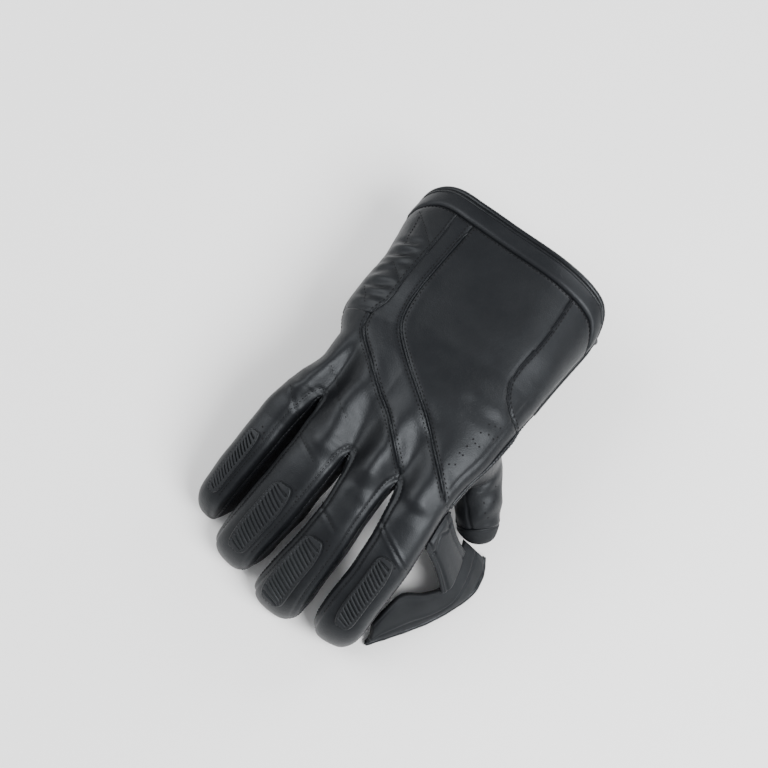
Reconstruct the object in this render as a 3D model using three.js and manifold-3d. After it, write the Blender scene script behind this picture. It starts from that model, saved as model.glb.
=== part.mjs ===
import * as THREE from 'three';
import Module from 'manifold-3d';

const wasm = await Module();
wasm.setup();

// Driving sizes, in millimetres
const gloveLength = 300;
const cuffHalfWidth = 76;
const cuffMiddleHeight = 47;
const leather = 2.2;
const rubber = 2.6;
const seamGap = 0.36;
const gussetHalf = 6.5;
const cuffEdgeHalf = 3.0;
const thumbMouthDepth = 15;
const slitWidth = 8;
const tipRounding = 30;
const backRise = 36;
const palmDrop = 54;
const fingerRise = 10.5;
const fingerBlend = 56;
const pipingRadius = 2.1;
const bindingRadius = 1.9;
const borderWidth = 14;
const guardBase = 1.6;
const ribHeight = 1.0;
const guardRibs = 13;
const weltWidth = 2.6;
const weltHeight = 1.1;
const weltBase = 1.15;
const thumbLength = 68;
const thumbHalfWidth = 15.5;
const thumbHalfDepth = 13.5;
const webThickness = 3.4;
const webRollRadius = 1.9;
const stemThickness = 2.8;

// Slope of the glove's middle line in degrees: [share of length, slope]
const slopeTable = [[0, 10], [0.36, 10], [0.55, -4], [0.80, -29], [1.03, -53], [1.12, -57]];

// Arch across the hand: [share of length, cuffHalfWidth over arch radius]
const archTable = [[0, 0.045], [0.30, 0.075], [0.50, 0.225], [0.65, 0.35], [1.12, 0.335]];
const archCentre = -0.2;

// Side edges and the three lines between the fingers: [share of length, share of cuff half width]
const thumbEdgeTable = [
  [0, -1.0], [0.10, -0.99], [0.25, -0.94], [0.38, -0.90], [0.48, -0.86], [0.56, -0.79],
  [0.64, -0.76], [0.75, -0.77], [0.86, -0.73], [1.0, -0.68], [1.05, -0.67],
];
const lineTable1 = [[0, -0.36], [0.60, -0.31], [0.70, -0.31], [0.80, -0.30], [0.90, -0.25], [1.05, -0.20]];
const lineTable2 = [[0, 0.10], [0.60, 0.14], [0.70, 0.15], [0.80, 0.20], [0.90, 0.29], [1.05, 0.42]];
const lineTable3 = [[0, 0.50], [0.50, 0.58], [0.60, 0.64], [0.70, 0.69], [0.80, 0.76], [1.05, 0.94]];
const littleEdgeTable = [
  [0, 0.99], [0.08, 0.99], [0.22, 0.94], [0.33, 0.96], [0.37, 0.92], [0.42, 0.82],
  [0.47, 0.82], [0.55, 0.93], [0.64, 1.04], [0.75, 1.10], [0.90, 1.17], [1.05, 1.18],
];

// Where the slits begin and where the fingers end, as shares of length
const slitStart = [0.625, 0.625, 0.555];
const tipEnd = [1.012, 1.03, 1.005, 0.955];

// Half height of the side openings: [share of length, share of gussetHalf above cuffEdgeHalf, mouth share]
const thumbSideTable = [
  [0, 0, 0], [0.33, 0, 0], [0.38, 0.7, 0.45], [0.44, 1, 1], [0.49, 1, 0.9], [0.555, 1, 0], [1.12, 1, 0],
];
const mouthInset = 0.17;
const littleSideTable = [[0, 0], [0.36, 0], [0.42, 1], [1.12, 1]];

// Rise of the back and drop of the palm: [share of length, share of backRise or palmDrop]
const backTable = [[0, 1], [0.2, 0.88], [0.38, 0.58], [0.48, 0.47], [0.60, 0.36], [0.66, 0.31], [1.12, 0.28]];
const palmTable = [
  [0, 1], [0.12, 1], [0.2, 0.86], [0.30, 0.58], [0.38, 0.42], [0.48, 0.35], [0.60, 0.27], [0.66, 0.20],
  [1.12, 0.19],
];
// Hollow of the palm beside the thumb: [share of length, share taken off the palm's drop]
const thumbHollowTable = [[0, 0], [0.34, 0], [0.43, 0.5], [0.54, 0.5], [0.62, 0], [1.12, 0]];
const fingerTable = [[0, 1], [0.6, 1.12], [0.7, 1], [1.12, 0.95]];

// Cuff end line, rounded at both corners: [across, -1 thumb side to 1, share of length]
const cuffEndTable = [
  [-1, 0.115], [-0.96, 0.080], [-0.85, 0.056], [-0.45, 0.047], [0, 0.042], [0.40, 0.032],
  [0.75, 0.018], [0.92, 0.028], [0.98, 0.052], [1, 0.085],
];
const palmCuffEnd = 0.05;
const wristSeam = 0.375;

// Seams across the back: [share of cuff half width, share of length]
const mainSeam = [
  [0.36, -0.06], [0.38, 0.086], [0.41, 0.196], [0.43, 0.282], [0.42, 0.317], [0.37, 0.359],
  [0.16, 0.413], [-0.09, 0.462], [-0.27, 0.497], [-0.54, 0.562], [-0.70, 0.600],
];
const stripSeam = [[0.53, -0.06], [0.55, 0.133], [0.57, 0.196], [0.59, 0.261], [0.60, 0.322], [0.66, 0.362]];
const backSeam = [
  [0.66, 0.362], [0.62, 0.398], [0.40, 0.450], [0.18, 0.497], [0.05, 0.520], [-0.10, 0.555],
  [-0.22, 0.585], [-0.30, 0.606],
];
const sideSeam = [
  [-0.65, -0.06], [-0.65, 0.086], [-0.66, 0.210], [-0.62, 0.299], [-0.62, 0.331], [-0.68, 0.366],
  [-0.75, 0.383], [-0.88, 0.397],
];

// Ribbed guards: finger, start, end (shares of length), centre and half width (shares of finger width)
const guardTable = [
  { name: 'guard_index', finger: 0, start: 0.755, end: 0.925, centre: 0.47, half: 0.20 },
  { name: 'guard_middle', finger: 1, start: 0.797, end: 0.972, centre: 0.55, half: 0.25 },
  { name: 'guard_ring', finger: 2, start: 0.745, end: 0.925, centre: 0.42, half: 0.22 },
  { name: 'guard_little', finger: 3, start: 0.690, end: 0.860, centre: 0.42, half: 0.19 },
];
const guardSlant = 0.014;

// Thumb rings: share of thumb length, then half width and half depth as shares
const thumbRings = [
  { along: 0.16, width: 1.04, depth: 0.88 },
  { along: 0.34, width: 1.02, depth: 0.94 },
  { along: 0.52, width: 1.0, depth: 1.02 },
  { along: 0.68, width: 0.98, depth: 1.0 },
  { along: 0.80, width: 0.93, depth: 0.95 },
  { along: 0.90, width: 0.78, depth: 0.80 },
  { along: 0.965, width: 0.55, depth: 0.56 },
  { along: 0.995, width: 0.25, depth: 0.26 },
];
const thumbCapRing = 4;
const thumbMouth = { centre: 0.476, half: 0.055, height: 0.90 };
// Thumb middle line from its mouth, in shares of thumb length: across, along, up
const thumbLine = [
  [0, 0, 0], [-0.006, 0.025, -0.235], [-0.040, 0.091, -0.338], [-0.097, 0.191, -0.438], [-0.153, 0.282, -0.529],
  [-0.212, 0.368, -0.610], [-0.271, 0.444, -0.676], [-0.315, 0.518, -0.729],
];

// Web band: share along its run, outward and height of its outer edge, the same of its inner edge,
// and how far the inner edge lags, all as shares of the run
const webTable = [
  { along: 0.015, out: 0.083, low: 0.055, inner: -0.039, high: 0.203, back: -0.050 },
  { along: 0.052, out: 0.127, low: 0.043, inner: -0.011, high: 0.217, back: -0.048 },
  { along: 0.107, out: 0.171, low: 0.037, inner: 0.021, high: 0.222, back: -0.046 },
  { along: 0.207, out: 0.210, low: 0.036, inner: 0.077, high: 0.222, back: -0.035 },
  { along: 0.347, out: 0.213, low: 0.036, inner: 0.121, high: 0.226, back: 0.003 },
  { along: 0.504, out: 0.190, low: 0.036, inner: 0.083, high: 0.240, back: 0.040 },
  { along: 0.650, out: 0.149, low: 0.037, inner: 0.016, high: 0.259, back: 0.086 },
  { along: 0.796, out: 0.103, low: 0.037, inner: 0.016, high: 0.240, back: 0.125 },
  { along: 0.889, out: 0.071, low: 0.039, inner: 0.024, high: 0.151, back: 0.083 },
];
const webFingerEnd = 1.0;
const stemBand = [0.12, 0.37];
const stemHand = [0.612, 0.705];

// Small helpers
const radians = (d) => (d * Math.PI) / 180;
const mix = (a, b, t) => a + (b - a) * t;
const clamp = (v, lo, hi) => Math.min(hi, Math.max(lo, v));
const add = (a, b) => [a[0] + b[0], a[1] + b[1], a[2] + b[2]];
const sub = (a, b) => [a[0] - b[0], a[1] - b[1], a[2] - b[2]];
const scale = (a, k) => [a[0] * k, a[1] * k, a[2] * k];
const dot = (a, b) => a[0] * b[0] + a[1] * b[1] + a[2] * b[2];
const cross = (a, b) => [
  a[1] * b[2] - a[2] * b[1],
  a[2] * b[0] - a[0] * b[2],
  a[0] * b[1] - a[1] * b[0],
];
const unit = (a) => scale(a, 1 / (Math.hypot(a[0], a[1], a[2]) || 1));
const mix3 = (a, b, t) => add(scale(a, 1 - t), scale(b, t));

function smooth(a, b, t) {
  const u = clamp((t - a) / (b - a), 0, 1);
  return u * u * (3 - 2 * u);
}

// Straight and smooth curves through a table's rows
function straight(table, q) {
  const t = clamp(q, table[0][0], table[table.length - 1][0]);
  let i = 0;
  while (i < table.length - 2 && t > table[i + 1][0]) i += 1;
  const u = (t - table[i][0]) / (table[i + 1][0] - table[i][0]);
  return mix(table[i][1], table[i + 1][1], u);
}

function curve(table, q, column = 1) {
  const n = table.length;
  const x = table.map((r) => r[0]);
  const y = table.map((r) => r[column]);
  const slope = (i) => (y[i + 1] - y[i]) / (x[i + 1] - x[i]);
  const tangent = (i) => {
    if (i === 0) return slope(0);
    if (i === n - 1) return slope(n - 2);
    const a = slope(i - 1);
    const b = slope(i);
    if (a * b <= 0) return 0;
    const ha = x[i] - x[i - 1];
    const hb = x[i + 1] - x[i];
    const wa = 2 * hb + ha;
    const wb = hb + 2 * ha;
    return (wa + wb) / (wa / a + wb / b);
  };
  const t = clamp(q, x[0], x[n - 1]);
  let i = 0;
  while (i < n - 2 && t >= x[i + 1]) i += 1;
  const h = x[i + 1] - x[i];
  const u = (t - x[i]) / h;
  const v = 1 - u;
  const start = (1 + 2 * u) * v * v * y[i] + u * v * v * h * tangent(i);
  const end = u * u * (3 - 2 * u) * y[i + 1] - u * u * v * h * tangent(i + 1);
  return start + end;
}

// Middle line of the glove, seen from the side
const middleSteps = 600;
const middleReach = 1.12;
const middle = [[0, cuffMiddleHeight, radians(straight(slopeTable, 0))]];
for (let i = 1; i <= middleSteps; i += 1) {
  const angle = radians(straight(slopeTable, (middleReach * i) / middleSteps));
  const last = middle[i - 1];
  const step = (middleReach * gloveLength) / middleSteps;
  const half = (angle + last[2]) / 2;
  middle.push([last[0] + step * Math.cos(half), last[1] + step * Math.sin(half), angle]);
}

// Places a point given across, along the middle line and off it
function bend(x, s, z) {
  const k = straight(archTable, s / gloveLength) / cuffHalfWidth;
  const x0 = archCentre * cuffHalfWidth;
  const p = (x - x0) * k;
  const across = x0 + (1 / k + z) * Math.sin(p);
  const off = (1 / k + z) * Math.cos(p) - 1 / k;
  const f = clamp(s / gloveLength / middleReach, 0, 1) * middleSteps;
  const i = Math.min(Math.floor(f), middleSteps - 1);
  const m = [0, 1, 2].map((c) => mix(middle[i][c], middle[i + 1][c], f - i));
  return [across, m[0] - off * Math.sin(m[2]), m[1] + off * Math.cos(m[2])];
}

// Outlines in the flat pattern
const fingerLines = [thumbEdgeTable, lineTable1, lineTable2, lineTable3, littleEdgeTable];
const lineAt = (n, s) => curve(fingerLines[n], s / gloveLength) * cuffHalfWidth;
const crotch = (n) => slitStart[n] * gloveLength;
const tipAt = (i) => tipEnd[i] * gloveLength;

const insetAt = (s) => mouthInset * cuffHalfWidth * curve(thumbSideTable, s / gloveLength, 2);

function fingerSides(i, s, palm = false) {
  let lo = lineAt(i, s) + (palm && i === 0 ? insetAt(s) : 0);
  let hi = lineAt(i + 1, s);
  const opening = (n) => 0.5 * slitWidth * Math.sqrt(clamp((s - crotch(n)) / (4.25 * slitWidth), 0, 1));
  if (i > 0) lo += opening(i - 1);
  if (i < 3) hi -= opening(i);
  const u = clamp((s - tipAt(i) + tipRounding) / tipRounding, 0, 1);
  const half = ((hi - lo) / 2) * (1 - 0.5 * u ** 3.2);
  const mid = (lo + hi) / 2;
  return [mid - half, mid + half];
}

function thumbSideHalf(s, palm = false) {
  const q = s / gloveLength;
  const base = mix(cuffEdgeHalf, gussetHalf, curve(thumbSideTable, q, 1));
  return base + (palm ? (thumbMouthDepth - gussetHalf) * curve(thumbSideTable, q, 2) : 0);
}

function littleSideHalf(s) {
  return mix(cuffEdgeHalf, gussetHalf, curve(littleSideTable, s / gloveLength));
}

function slitHalf(n, s) {
  const lift = rubber + 2 * seamGap;
  return gussetHalf + lift * (1 - smooth(crotch(n) + slitWidth / 4, crotch(n) + 1.75 * slitWidth, s));
}

const tipTaper = (i, s) => clamp((s - tipAt(i) + tipRounding) / tipRounding, 0, 1);

// Height of the outer face over the middle line
function faceHeight(i, x, s, palm) {
  const q = s / gloveLength;
  const left = fingerSides(0, Math.min(s, crotch(2)), palm)[0];
  const right = lineAt(4, s);
  const t = clamp((2 * x - left - right) / (right - left), -1, 1);
  const rise = palm ? palmDrop * curve(palmTable, q) : backRise * curve(backTable, q);
  const thumbHalf = thumbSideHalf(s, palm);
  const littleHalf = littleSideHalf(s);
  const edge = mix(thumbHalf, littleHalf, (t + 1) / 2);
  const hollow = palm ? 1 - curve(thumbHollowTable, q) * smooth(0, 0.8, -t) : 1;
  const hand = edge + rise * hollow * Math.sqrt(Math.max(0, 1 - Math.abs(t) ** 3));
  const [lo, hi] = fingerSides(i, s, palm);
  const xi = clamp((2 * x - lo - hi) / (hi - lo), -1, 1);
  const u = tipTaper(i, s);
  const dome = Math.sqrt(Math.max(0, 1 - u ** 2.4));
  const leftHalf = i === 0 ? thumbHalf : slitHalf(i - 1, s);
  const rightHalf = i === 3 ? littleHalf : slitHalf(i, s);
  const side = mix(leftHalf, rightHalf, (xi + 1) / 2);
  const tipSide = seamGap + (side - seamGap) * (1 - u * u);
  const open = (n) => smooth(crotch(n) - slitWidth / 2, crotch(n) + 2.5 * slitWidth, s);
  const parted = mix(i === 0 ? 1 : open(i - 1), i === 3 ? 1 : open(i), (xi + 1) / 2);
  const valley = (1 + Math.cos(Math.PI * xi)) / 2;
  const crown = mix(valley, Math.sqrt(Math.max(0, 1 - Math.abs(xi) ** 2.6)), parted);
  const finger = tipSide + fingerRise * curve(fingerTable, q) * dome * crown;
  const part = (n) => smooth(crotch(n) - fingerBlend, crotch(n) + slitWidth / 4, s);
  const k = mix(part(Math.max(i - 1, 0)), part(Math.min(i, 2)), (xi + 1) / 2);
  return mix(hand, finger, k);
}

// A point on the outer face, moved off it along its normal
function facePoint(i, x, s, palm, off) {
  const d = 0.25;
  const z = faceHeight(i, x, s, palm);
  const zx = (faceHeight(i, x + d, s, palm) - faceHeight(i, x - d, s, palm)) / (2 * d);
  const zs = (faceHeight(i, x, s + d, palm) - faceHeight(i, x, s - d, palm)) / (2 * d);
  const n = unit([-zx, -zs, 1]);
  const flat = [x + n[0] * off, s + n[1] * off, z + n[2] * off];
  return bend(flat[0], flat[1], palm ? -flat[2] : flat[2]);
}

const columnOf = (x, s) => {
  let i = 0;
  while (i < 3 && x > lineAt(i + 1, s)) i += 1;
  return i;
};

// Closed solids from corner lists
function signedVolume(points, faces) {
  let v = 0;
  for (const [a, b, c] of faces) v += dot(points[a], cross(points[b], points[c]));
  return v / 6;
}

function makeSolid(points, faces) {
  const out = signedVolume(points, faces) < 0 ? faces.map(([a, b, c]) => [a, c, b]) : faces;
  return { points, faces: out };
}

// A sheet between two grids of points
function slab(outer, inner) {
  const rows = outer.length;
  const cols = outer[0].length;
  const points = [...outer.flat(), ...inner.flat()];
  const total = rows * cols;
  const at = (j, k, side) => side * total + j * cols + k;
  const faces = [];
  const quad = (a, b, c, d) => faces.push([a, b, c], [a, c, d]);
  for (let j = 0; j < rows - 1; j += 1) {
    for (let k = 0; k < cols - 1; k += 1) {
      quad(at(j, k, 0), at(j, k + 1, 0), at(j + 1, k + 1, 0), at(j + 1, k, 0));
      quad(at(j, k, 1), at(j + 1, k, 1), at(j + 1, k + 1, 1), at(j, k + 1, 1));
    }
  }
  for (let k = 0; k < cols - 1; k += 1) {
    quad(at(0, k, 0), at(0, k, 1), at(0, k + 1, 1), at(0, k + 1, 0));
    quad(at(rows - 1, k, 0), at(rows - 1, k + 1, 0), at(rows - 1, k + 1, 1), at(rows - 1, k, 1));
  }
  for (let j = 0; j < rows - 1; j += 1) {
    quad(at(j, 0, 0), at(j + 1, 0, 0), at(j + 1, 0, 1), at(j, 0, 1));
    quad(at(j, cols - 1, 0), at(j, cols - 1, 1), at(j + 1, cols - 1, 1), at(j + 1, cols - 1, 0));
  }
  return makeSolid(points, faces);
}

// A bar through closed rings of equal count, capped at both ends
function bar(rings) {
  const n = rings[0].length;
  const points = rings.flat();
  const faces = [];
  for (let j = 0; j < rings.length - 1; j += 1) {
    for (let k = 0; k < n; k += 1) {
      const a = j * n + k;
      const b = j * n + ((k + 1) % n);
      faces.push([a, b, b + n], [a, b + n, a + n]);
    }
  }
  const last = (rings.length - 1) * n;
  for (let k = 1; k < n - 1; k += 1) {
    faces.push([0, k + 1, k]);
    faces.push([last, last + k, last + k + 1]);
  }
  return makeSolid(points, faces);
}

// A cup: closed rings outside and inside, each ending in a pole
function cup(outer, inner, outerPole, innerPole) {
  const n = outer[0].length;
  const rows = outer.length;
  const points = [...outer.flat(), ...inner.flat(), outerPole, innerPole];
  const faces = [];
  const at = (j, k, side) => side * rows * n + j * n + (k % n);
  for (let k = 0; k < n; k += 1) {
    for (let j = 0; j < rows - 1; j += 1) {
      faces.push([at(j, k, 0), at(j, k + 1, 0), at(j + 1, k + 1, 0)]);
      faces.push([at(j, k, 0), at(j + 1, k + 1, 0), at(j + 1, k, 0)]);
      faces.push([at(j, k, 1), at(j + 1, k + 1, 1), at(j, k + 1, 1)]);
      faces.push([at(j, k, 1), at(j + 1, k, 1), at(j + 1, k + 1, 1)]);
    }
    faces.push([at(rows - 1, k, 0), at(rows - 1, k + 1, 0), 2 * rows * n]);
    faces.push([at(rows - 1, k + 1, 1), at(rows - 1, k, 1), 2 * rows * n + 1]);
    faces.push([at(0, k + 1, 0), at(0, k, 0), at(0, k, 1)]);
    faces.push([at(0, k + 1, 0), at(0, k, 1), at(0, k + 1, 1)]);
  }
  return makeSolid(points, faces);
}

// A round cord along a line of points
function cord(line, radius, sides = 6) {
  const rings = line.map((p, j) => {
    const t = unit(sub(line[Math.min(j + 1, line.length - 1)], line[Math.max(j - 1, 0)]));
    const u = unit(cross(t, Math.abs(t[2]) > 0.95 ? [1, 0, 0] : [0, 0, 1]));
    const v = cross(u, t);
    return Array.from({ length: sides }, (_, k) => {
      const a = (2 * Math.PI * k) / sides;
      return add(p, add(scale(u, radius * Math.cos(a)), scale(v, radius * Math.sin(a))));
    });
  });
  return bar(rings);
}

// Flat pattern cells of one face, thickened into a curved sheet that lies no lower than the floor
function sheet(cells, thickness, palm) {
  const keys = new Map();
  const flat = [];
  const sides = [];
  const owner = [];
  const vertex = (c) => {
    const [lo, hi] = fingerSides(c.i, c.s, palm);
    const x = mix(lo, hi, c.f);
    const key = `${Math.round(x * 1e3)},${Math.round(c.s * 1e3)}`;
    const open = (n) => c.s > crotch(n) + 1e-6;
    const side = (c.f === 0 && (c.i === 0 || open(c.i - 1)))
      || (c.f === 1 && (c.i === 3 || open(c.i)))
      || c.s >= tipAt(c.i) - 1e-6;
    if (!keys.has(key)) {
      keys.set(key, flat.length);
      flat.push([x, c.s, faceHeight(c.i, x, c.s, palm)]);
      sides.push(side);
      owner.push(c.i);
    }
    return keys.get(key);
  };
  const faces = [];
  for (const cell of cells) {
    const [a, b, c, d] = cell.map(vertex);
    faces.push([a, b, c], [a, c, d]);
  }
  const normals = flat.map(() => [0, 0, 0]);
  const edges = new Map();
  for (const [a, b, c] of faces) {
    const n = cross(sub(flat[b], flat[a]), sub(flat[c], flat[a]));
    for (const v of [a, b, c]) normals[v] = add(normals[v], n);
    for (const [p, q] of [[a, b], [b, c], [c, a]]) {
      if (edges.has(`${q},${p}`)) edges.delete(`${q},${p}`);
      else edges.set(`${p},${q}`, [p, q]);
    }
  }
  const faceNormal = (i, x, s) => {
    const d = 0.6;
    const at = (a, b) => faceHeight(columnOf(a, b), a, b, palm);
    const zx = (at(x + d, s) - at(x - d, s)) / (2 * d);
    const zs = (faceHeight(i, x, s + d, palm) - faceHeight(i, x, s - d, palm)) / (2 * d);
    return unit([-zx, -zs, 1]);
  };
  const place = (p, lift) => {
    const w = bend(p[0], p[1], palm ? -p[2] : p[2]);
    return palm ? [w[0], w[1], Math.max(w[2], lift)] : w;
  };
  const points = flat.map((p) => place(p, 0));
  flat.forEach((p, v) => {
    const n = sides[v] ? unit([normals[v][0], normals[v][1], 0]) : faceNormal(owner[v], p[0], p[1]);
    points.push(place(sub(p, scale(n, thickness)), sides[v] ? 0 : thickness));
  });
  const total = flat.length;
  const all = [...faces];
  for (const [a, b, c] of faces) all.push([a + total, c + total, b + total]);
  for (const [p, q] of edges.values()) all.push([p, p + total, q + total], [p, q + total, q]);
  return makeSolid(points, all);
}

// Columns across a finger and rows along the glove
const innerColumns = [0.07, 0.22, 0.5, 0.78, 0.93];
const columnsOf = (i) => [0, ...(i === 0 ? [0.03] : []), ...innerColumns, ...(i === 3 ? [0.97] : []), 1];
const cuffLine = (x, s) => {
  const left = lineAt(0, s);
  const right = lineAt(4, s);
  return curve(cuffEndTable, (2 * x - left - right) / (right - left)) * gloveLength;
};
function cuffStart(i, f) {
  let s = cuffLine(mix(...fingerSides(i, 0), f), 0);
  for (let n = 0; n < 4; n += 1) s = cuffLine(mix(...fingerSides(i, s), f), s);
  return s;
}
const evenly = (a, b, n) => Array.from({ length: n + 1 }, (_, k) => mix(a, b, k / n));
const tipShares = [0.35, 0.6, 0.8, 0.93, 1];

function fingerRows(i, from) {
  const start = tipAt(i) - tipRounding;
  const plain = evenly(from, start, 5);
  return [...plain, ...tipShares.map((u) => start + u * tipRounding)];
}

function cellsBetween(rowsOf) {
  const cells = [];
  for (let i = 0; i < 4; i += 1) {
    const columns = columnsOf(i);
    for (let k = 0; k < columns.length - 1; k += 1) {
      const [f0, f1] = [columns[k], columns[k + 1]];
      const rows0 = rowsOf(i, f0);
      const rows1 = rowsOf(i, f1);
      for (let j = 0; j < rows0.length - 1; j += 1) {
        cells.push([
          { i, f: f0, s: rows0[j] }, { i, f: f1, s: rows1[j] },
          { i, f: f1, s: rows1[j + 1] }, { i, f: f0, s: rows0[j + 1] },
        ]);
      }
    }
  }
  return cells;
}

const handRows = [
  ...evenly(wristSeam * gloveLength, crotch(2), 5),
  ...evenly(crotch(2), crotch(1), 3).slice(1),
];
const borderEnd = (i, f) => cuffStart(i, f) + borderWidth;
function borderGap(i, f) {
  const s = cuffStart(i, f);
  const t = (2 * mix(...fingerSides(i, s), f) - lineAt(0, s) - lineAt(4, s)) / (lineAt(4, s) - lineAt(0, s));
  return (seamGap / 2) * (1 + 5 * t ** 8);
}

const borderCells = cellsBetween((i, f) => evenly(cuffStart(i, f), borderEnd(i, f) - borderGap(i, f), 2));
const backCells = cellsBetween((i, f) => [
  ...evenly(borderEnd(i, f) + borderGap(i, f), wristSeam * gloveLength, 3),
  ...handRows.slice(1),
  ...fingerRows(i, crotch(1)).slice(1),
]);
const palmFrom = wristSeam * gloveLength + seamGap / 2;
const palmCells = cellsBetween((i) => [
  palmFrom,
  ...handRows.slice(1),
  ...fingerRows(i, crotch(1)).slice(1),
]);
const palmCuffCells = cellsBetween(() => evenly(
  palmCuffEnd * gloveLength,
  wristSeam * gloveLength - seamGap / 2,
  4,
));

// Panels of the back, cut along the seams as seen from above
const toManifold = (solid) => new wasm.Manifold(new wasm.Mesh({
  numProp: 3,
  vertProperties: new Float32Array(solid.points.flat()),
  triVerts: new Uint32Array(solid.faces.flat()),
}));

function fromManifold(m) {
  const mesh = m.getMesh();
  const points = [];
  const faces = [];
  for (let v = 0; v < mesh.numVert; v += 1) {
    points.push(Array.from(mesh.vertProperties.slice(v * mesh.numProp, v * mesh.numProp + 3)));
  }
  for (let t = 0; t < mesh.numTri; t += 1) {
    faces.push(Array.from(mesh.triVerts.slice(3 * t, 3 * t + 3)));
  }
  return makeSolid(points, faces);
}

const reach = 2 * gloveLength;
function prism(outline) {
  const shape = outline.map((p) => new THREE.Vector2(p[0], p[1]));
  const faces = THREE.ShapeUtils.triangulateShape(shape, []);
  const n = outline.length;
  const points = [
    ...outline.map((p) => [p[0], p[1], -reach]),
    ...outline.map((p) => [p[0], p[1], reach]),
  ];
  const all = [];
  for (const [a, b, c] of faces) all.push([a, b, c], [a + n, c + n, b + n]);
  const turn = THREE.ShapeUtils.isClockWise(shape) ? 1 : -1;
  for (let k = 0; k < n; k += 1) {
    const m = (k + 1) % n;
    if (turn > 0) all.push([k, m, m + n], [k, m + n, k + n]);
    else all.push([k, m + n, m], [k, k + n, m + n]);
  }
  return makeSolid(points, all);
}

function seamPlan(table) {
  return table.map(([share, q]) => {
    const s = q * gloveLength;
    const x = share * cuffHalfWidth;
    const inside = clamp(s, 0.02 * gloveLength, gloveLength);
    const p = facePoint(columnOf(x, inside), x, inside, false, 0);
    return [p[0], p[1] + s - inside];
  });
}

// A seam line resampled smoothly between its table rows
function finer(line, n = 4) {
  const path = new THREE.CatmullRomCurve3(
    line.map((p) => new THREE.Vector3(p[0], p[1], p[2] || 0)),
    false,
    'centripetal',
  );
  return path.getPoints((line.length - 1) * n).map((p) => [p.x, p.y, p.z]);
}

function ribbon(line, width) {
  const left = [];
  const right = [];
  line.forEach((p, j) => {
    const t = unit(sub(line[Math.min(j + 1, line.length - 1)], line[Math.max(j - 1, 0)]));
    left.push([p[0] - t[1] * width / 2, p[1] + t[0] * width / 2]);
    right.push([p[0] + t[1] * width / 2, p[1] - t[0] * width / 2]);
  });
  return [...left, ...right.reverse()];
}

const planOf = (table) => finer(seamPlan(table).map((p) => [p[0], p[1], 0]), 2);
const mainPlan = planOf(mainSeam);
const stripPlan = planOf(stripSeam);
const backPlan = planOf(backSeam);
const sidePlan = planOf(sideSeam);
const far = gloveLength;
const extend = (line) => {
  const [a, b] = [line[line.length - 2], line[line.length - 1]];
  const t = unit(sub(b, a));
  return [...line, add(b, scale(t, 0.1 * gloveLength))];
};
const extendStart = (line) => extend([...line].reverse()).reverse();

// Slit between index and middle finger, as seen from above
const slitPlan = evenly(crotch(0), tipAt(0) - tipRounding, 5).slice(1).map((s) => {
  const left = fingerSides(0, s)[1];
  const right = fingerSides(1, s)[0];
  return bend((left + right) / 2, s, 0);
});
const backDivide = [...backPlan, ...slitPlan.map((p) => [p[0], p[1], 0])];
const backEnd = backDivide[backDivide.length - 1];

const fullBack = toManifold(sheet(backCells, leather, false));
const notch = stripPlan[stripPlan.length - 1];
const curtains = [
  ribbon(extend(extendStart(mainPlan)), seamGap),
  ribbon([...extendStart(stripPlan), add(notch, [0.5 * cuffHalfWidth, 0, 0])], seamGap),
  ribbon([add(notch, [0.5 * cuffHalfWidth, 0, 0]), ...backDivide, [backEnd[0], far * 2, 0]], seamGap),
  ribbon(extend(extendStart(sidePlan)), seamGap),
].map((outline) => toManifold(prism(outline)));
let cutBack = fullBack;
for (const curtain of curtains) cutBack = cutBack.subtract(curtain);

const mainLong = extend(extendStart(mainPlan));
const mainLast = mainLong[mainLong.length - 1];
const mainSide = toManifold(prism([...mainLong, [-far, mainLast[1]], [-far, -far], [mainLong[0][0], -far]]));
const sideLong = extend(extendStart(sidePlan));
const sideLast = sideLong[sideLong.length - 1];
const sideSide = toManifold(prism([...sideLong, [-far, sideLast[1]], [-far, -far], [sideLong[0][0], -far]]));
const wedgeLong = [...extendStart(stripPlan), add(notch, [0.5 * cuffHalfWidth, 0, 0])];
const wedgeSide = toManifold(prism([...wedgeLong, [far, notch[1]], [far, -far], [wedgeLong[0][0], -far]]));
const handSide = toManifold(prism([
  [far, notch[1]], add(notch, [0.5 * cuffHalfWidth, 0, 0]), ...backDivide, [backEnd[0], far * 2], [far, far * 2],
]));

const cuffSidePanel = cutBack.intersect(sideSide);
const cuffMainPanel = cutBack.intersect(mainSide).subtract(sideSide);
const cuffWedgePanel = cutBack.intersect(wedgeSide);
const backHandPanel = cutBack.intersect(handSide).subtract(wedgeSide);
const indexStripPanel = cutBack.subtract(mainSide).subtract(wedgeSide).subtract(handSide);

// Gussets in the slits and along the two outer sides
const gussetTop = (half, i, s) => {
  const u = tipTaper(i, s);
  return seamGap + (half - seamGap) * (1 - u * u) - seamGap;
};
const gussetEnd = (i) => tipAt(i) - 0.34 * tipRounding;

function wall(line, halfAt) {
  const rings = line.map((p, j) => {
    const a = line[Math.max(j - 1, 0)];
    const b = line[Math.min(j + 1, line.length - 1)];
    const t = unit([b.x - a.x, b.s - a.s, 0]);
    const back = [p.x + t[1] * leather, p.s - t[0] * leather];
    const h = halfAt(p);
    return [bend(p.x, p.s, -h), bend(p.x, p.s, h), bend(back[0], back[1], h), bend(back[0], back[1], -h)];
  });
  return bar(rings);
}

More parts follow.
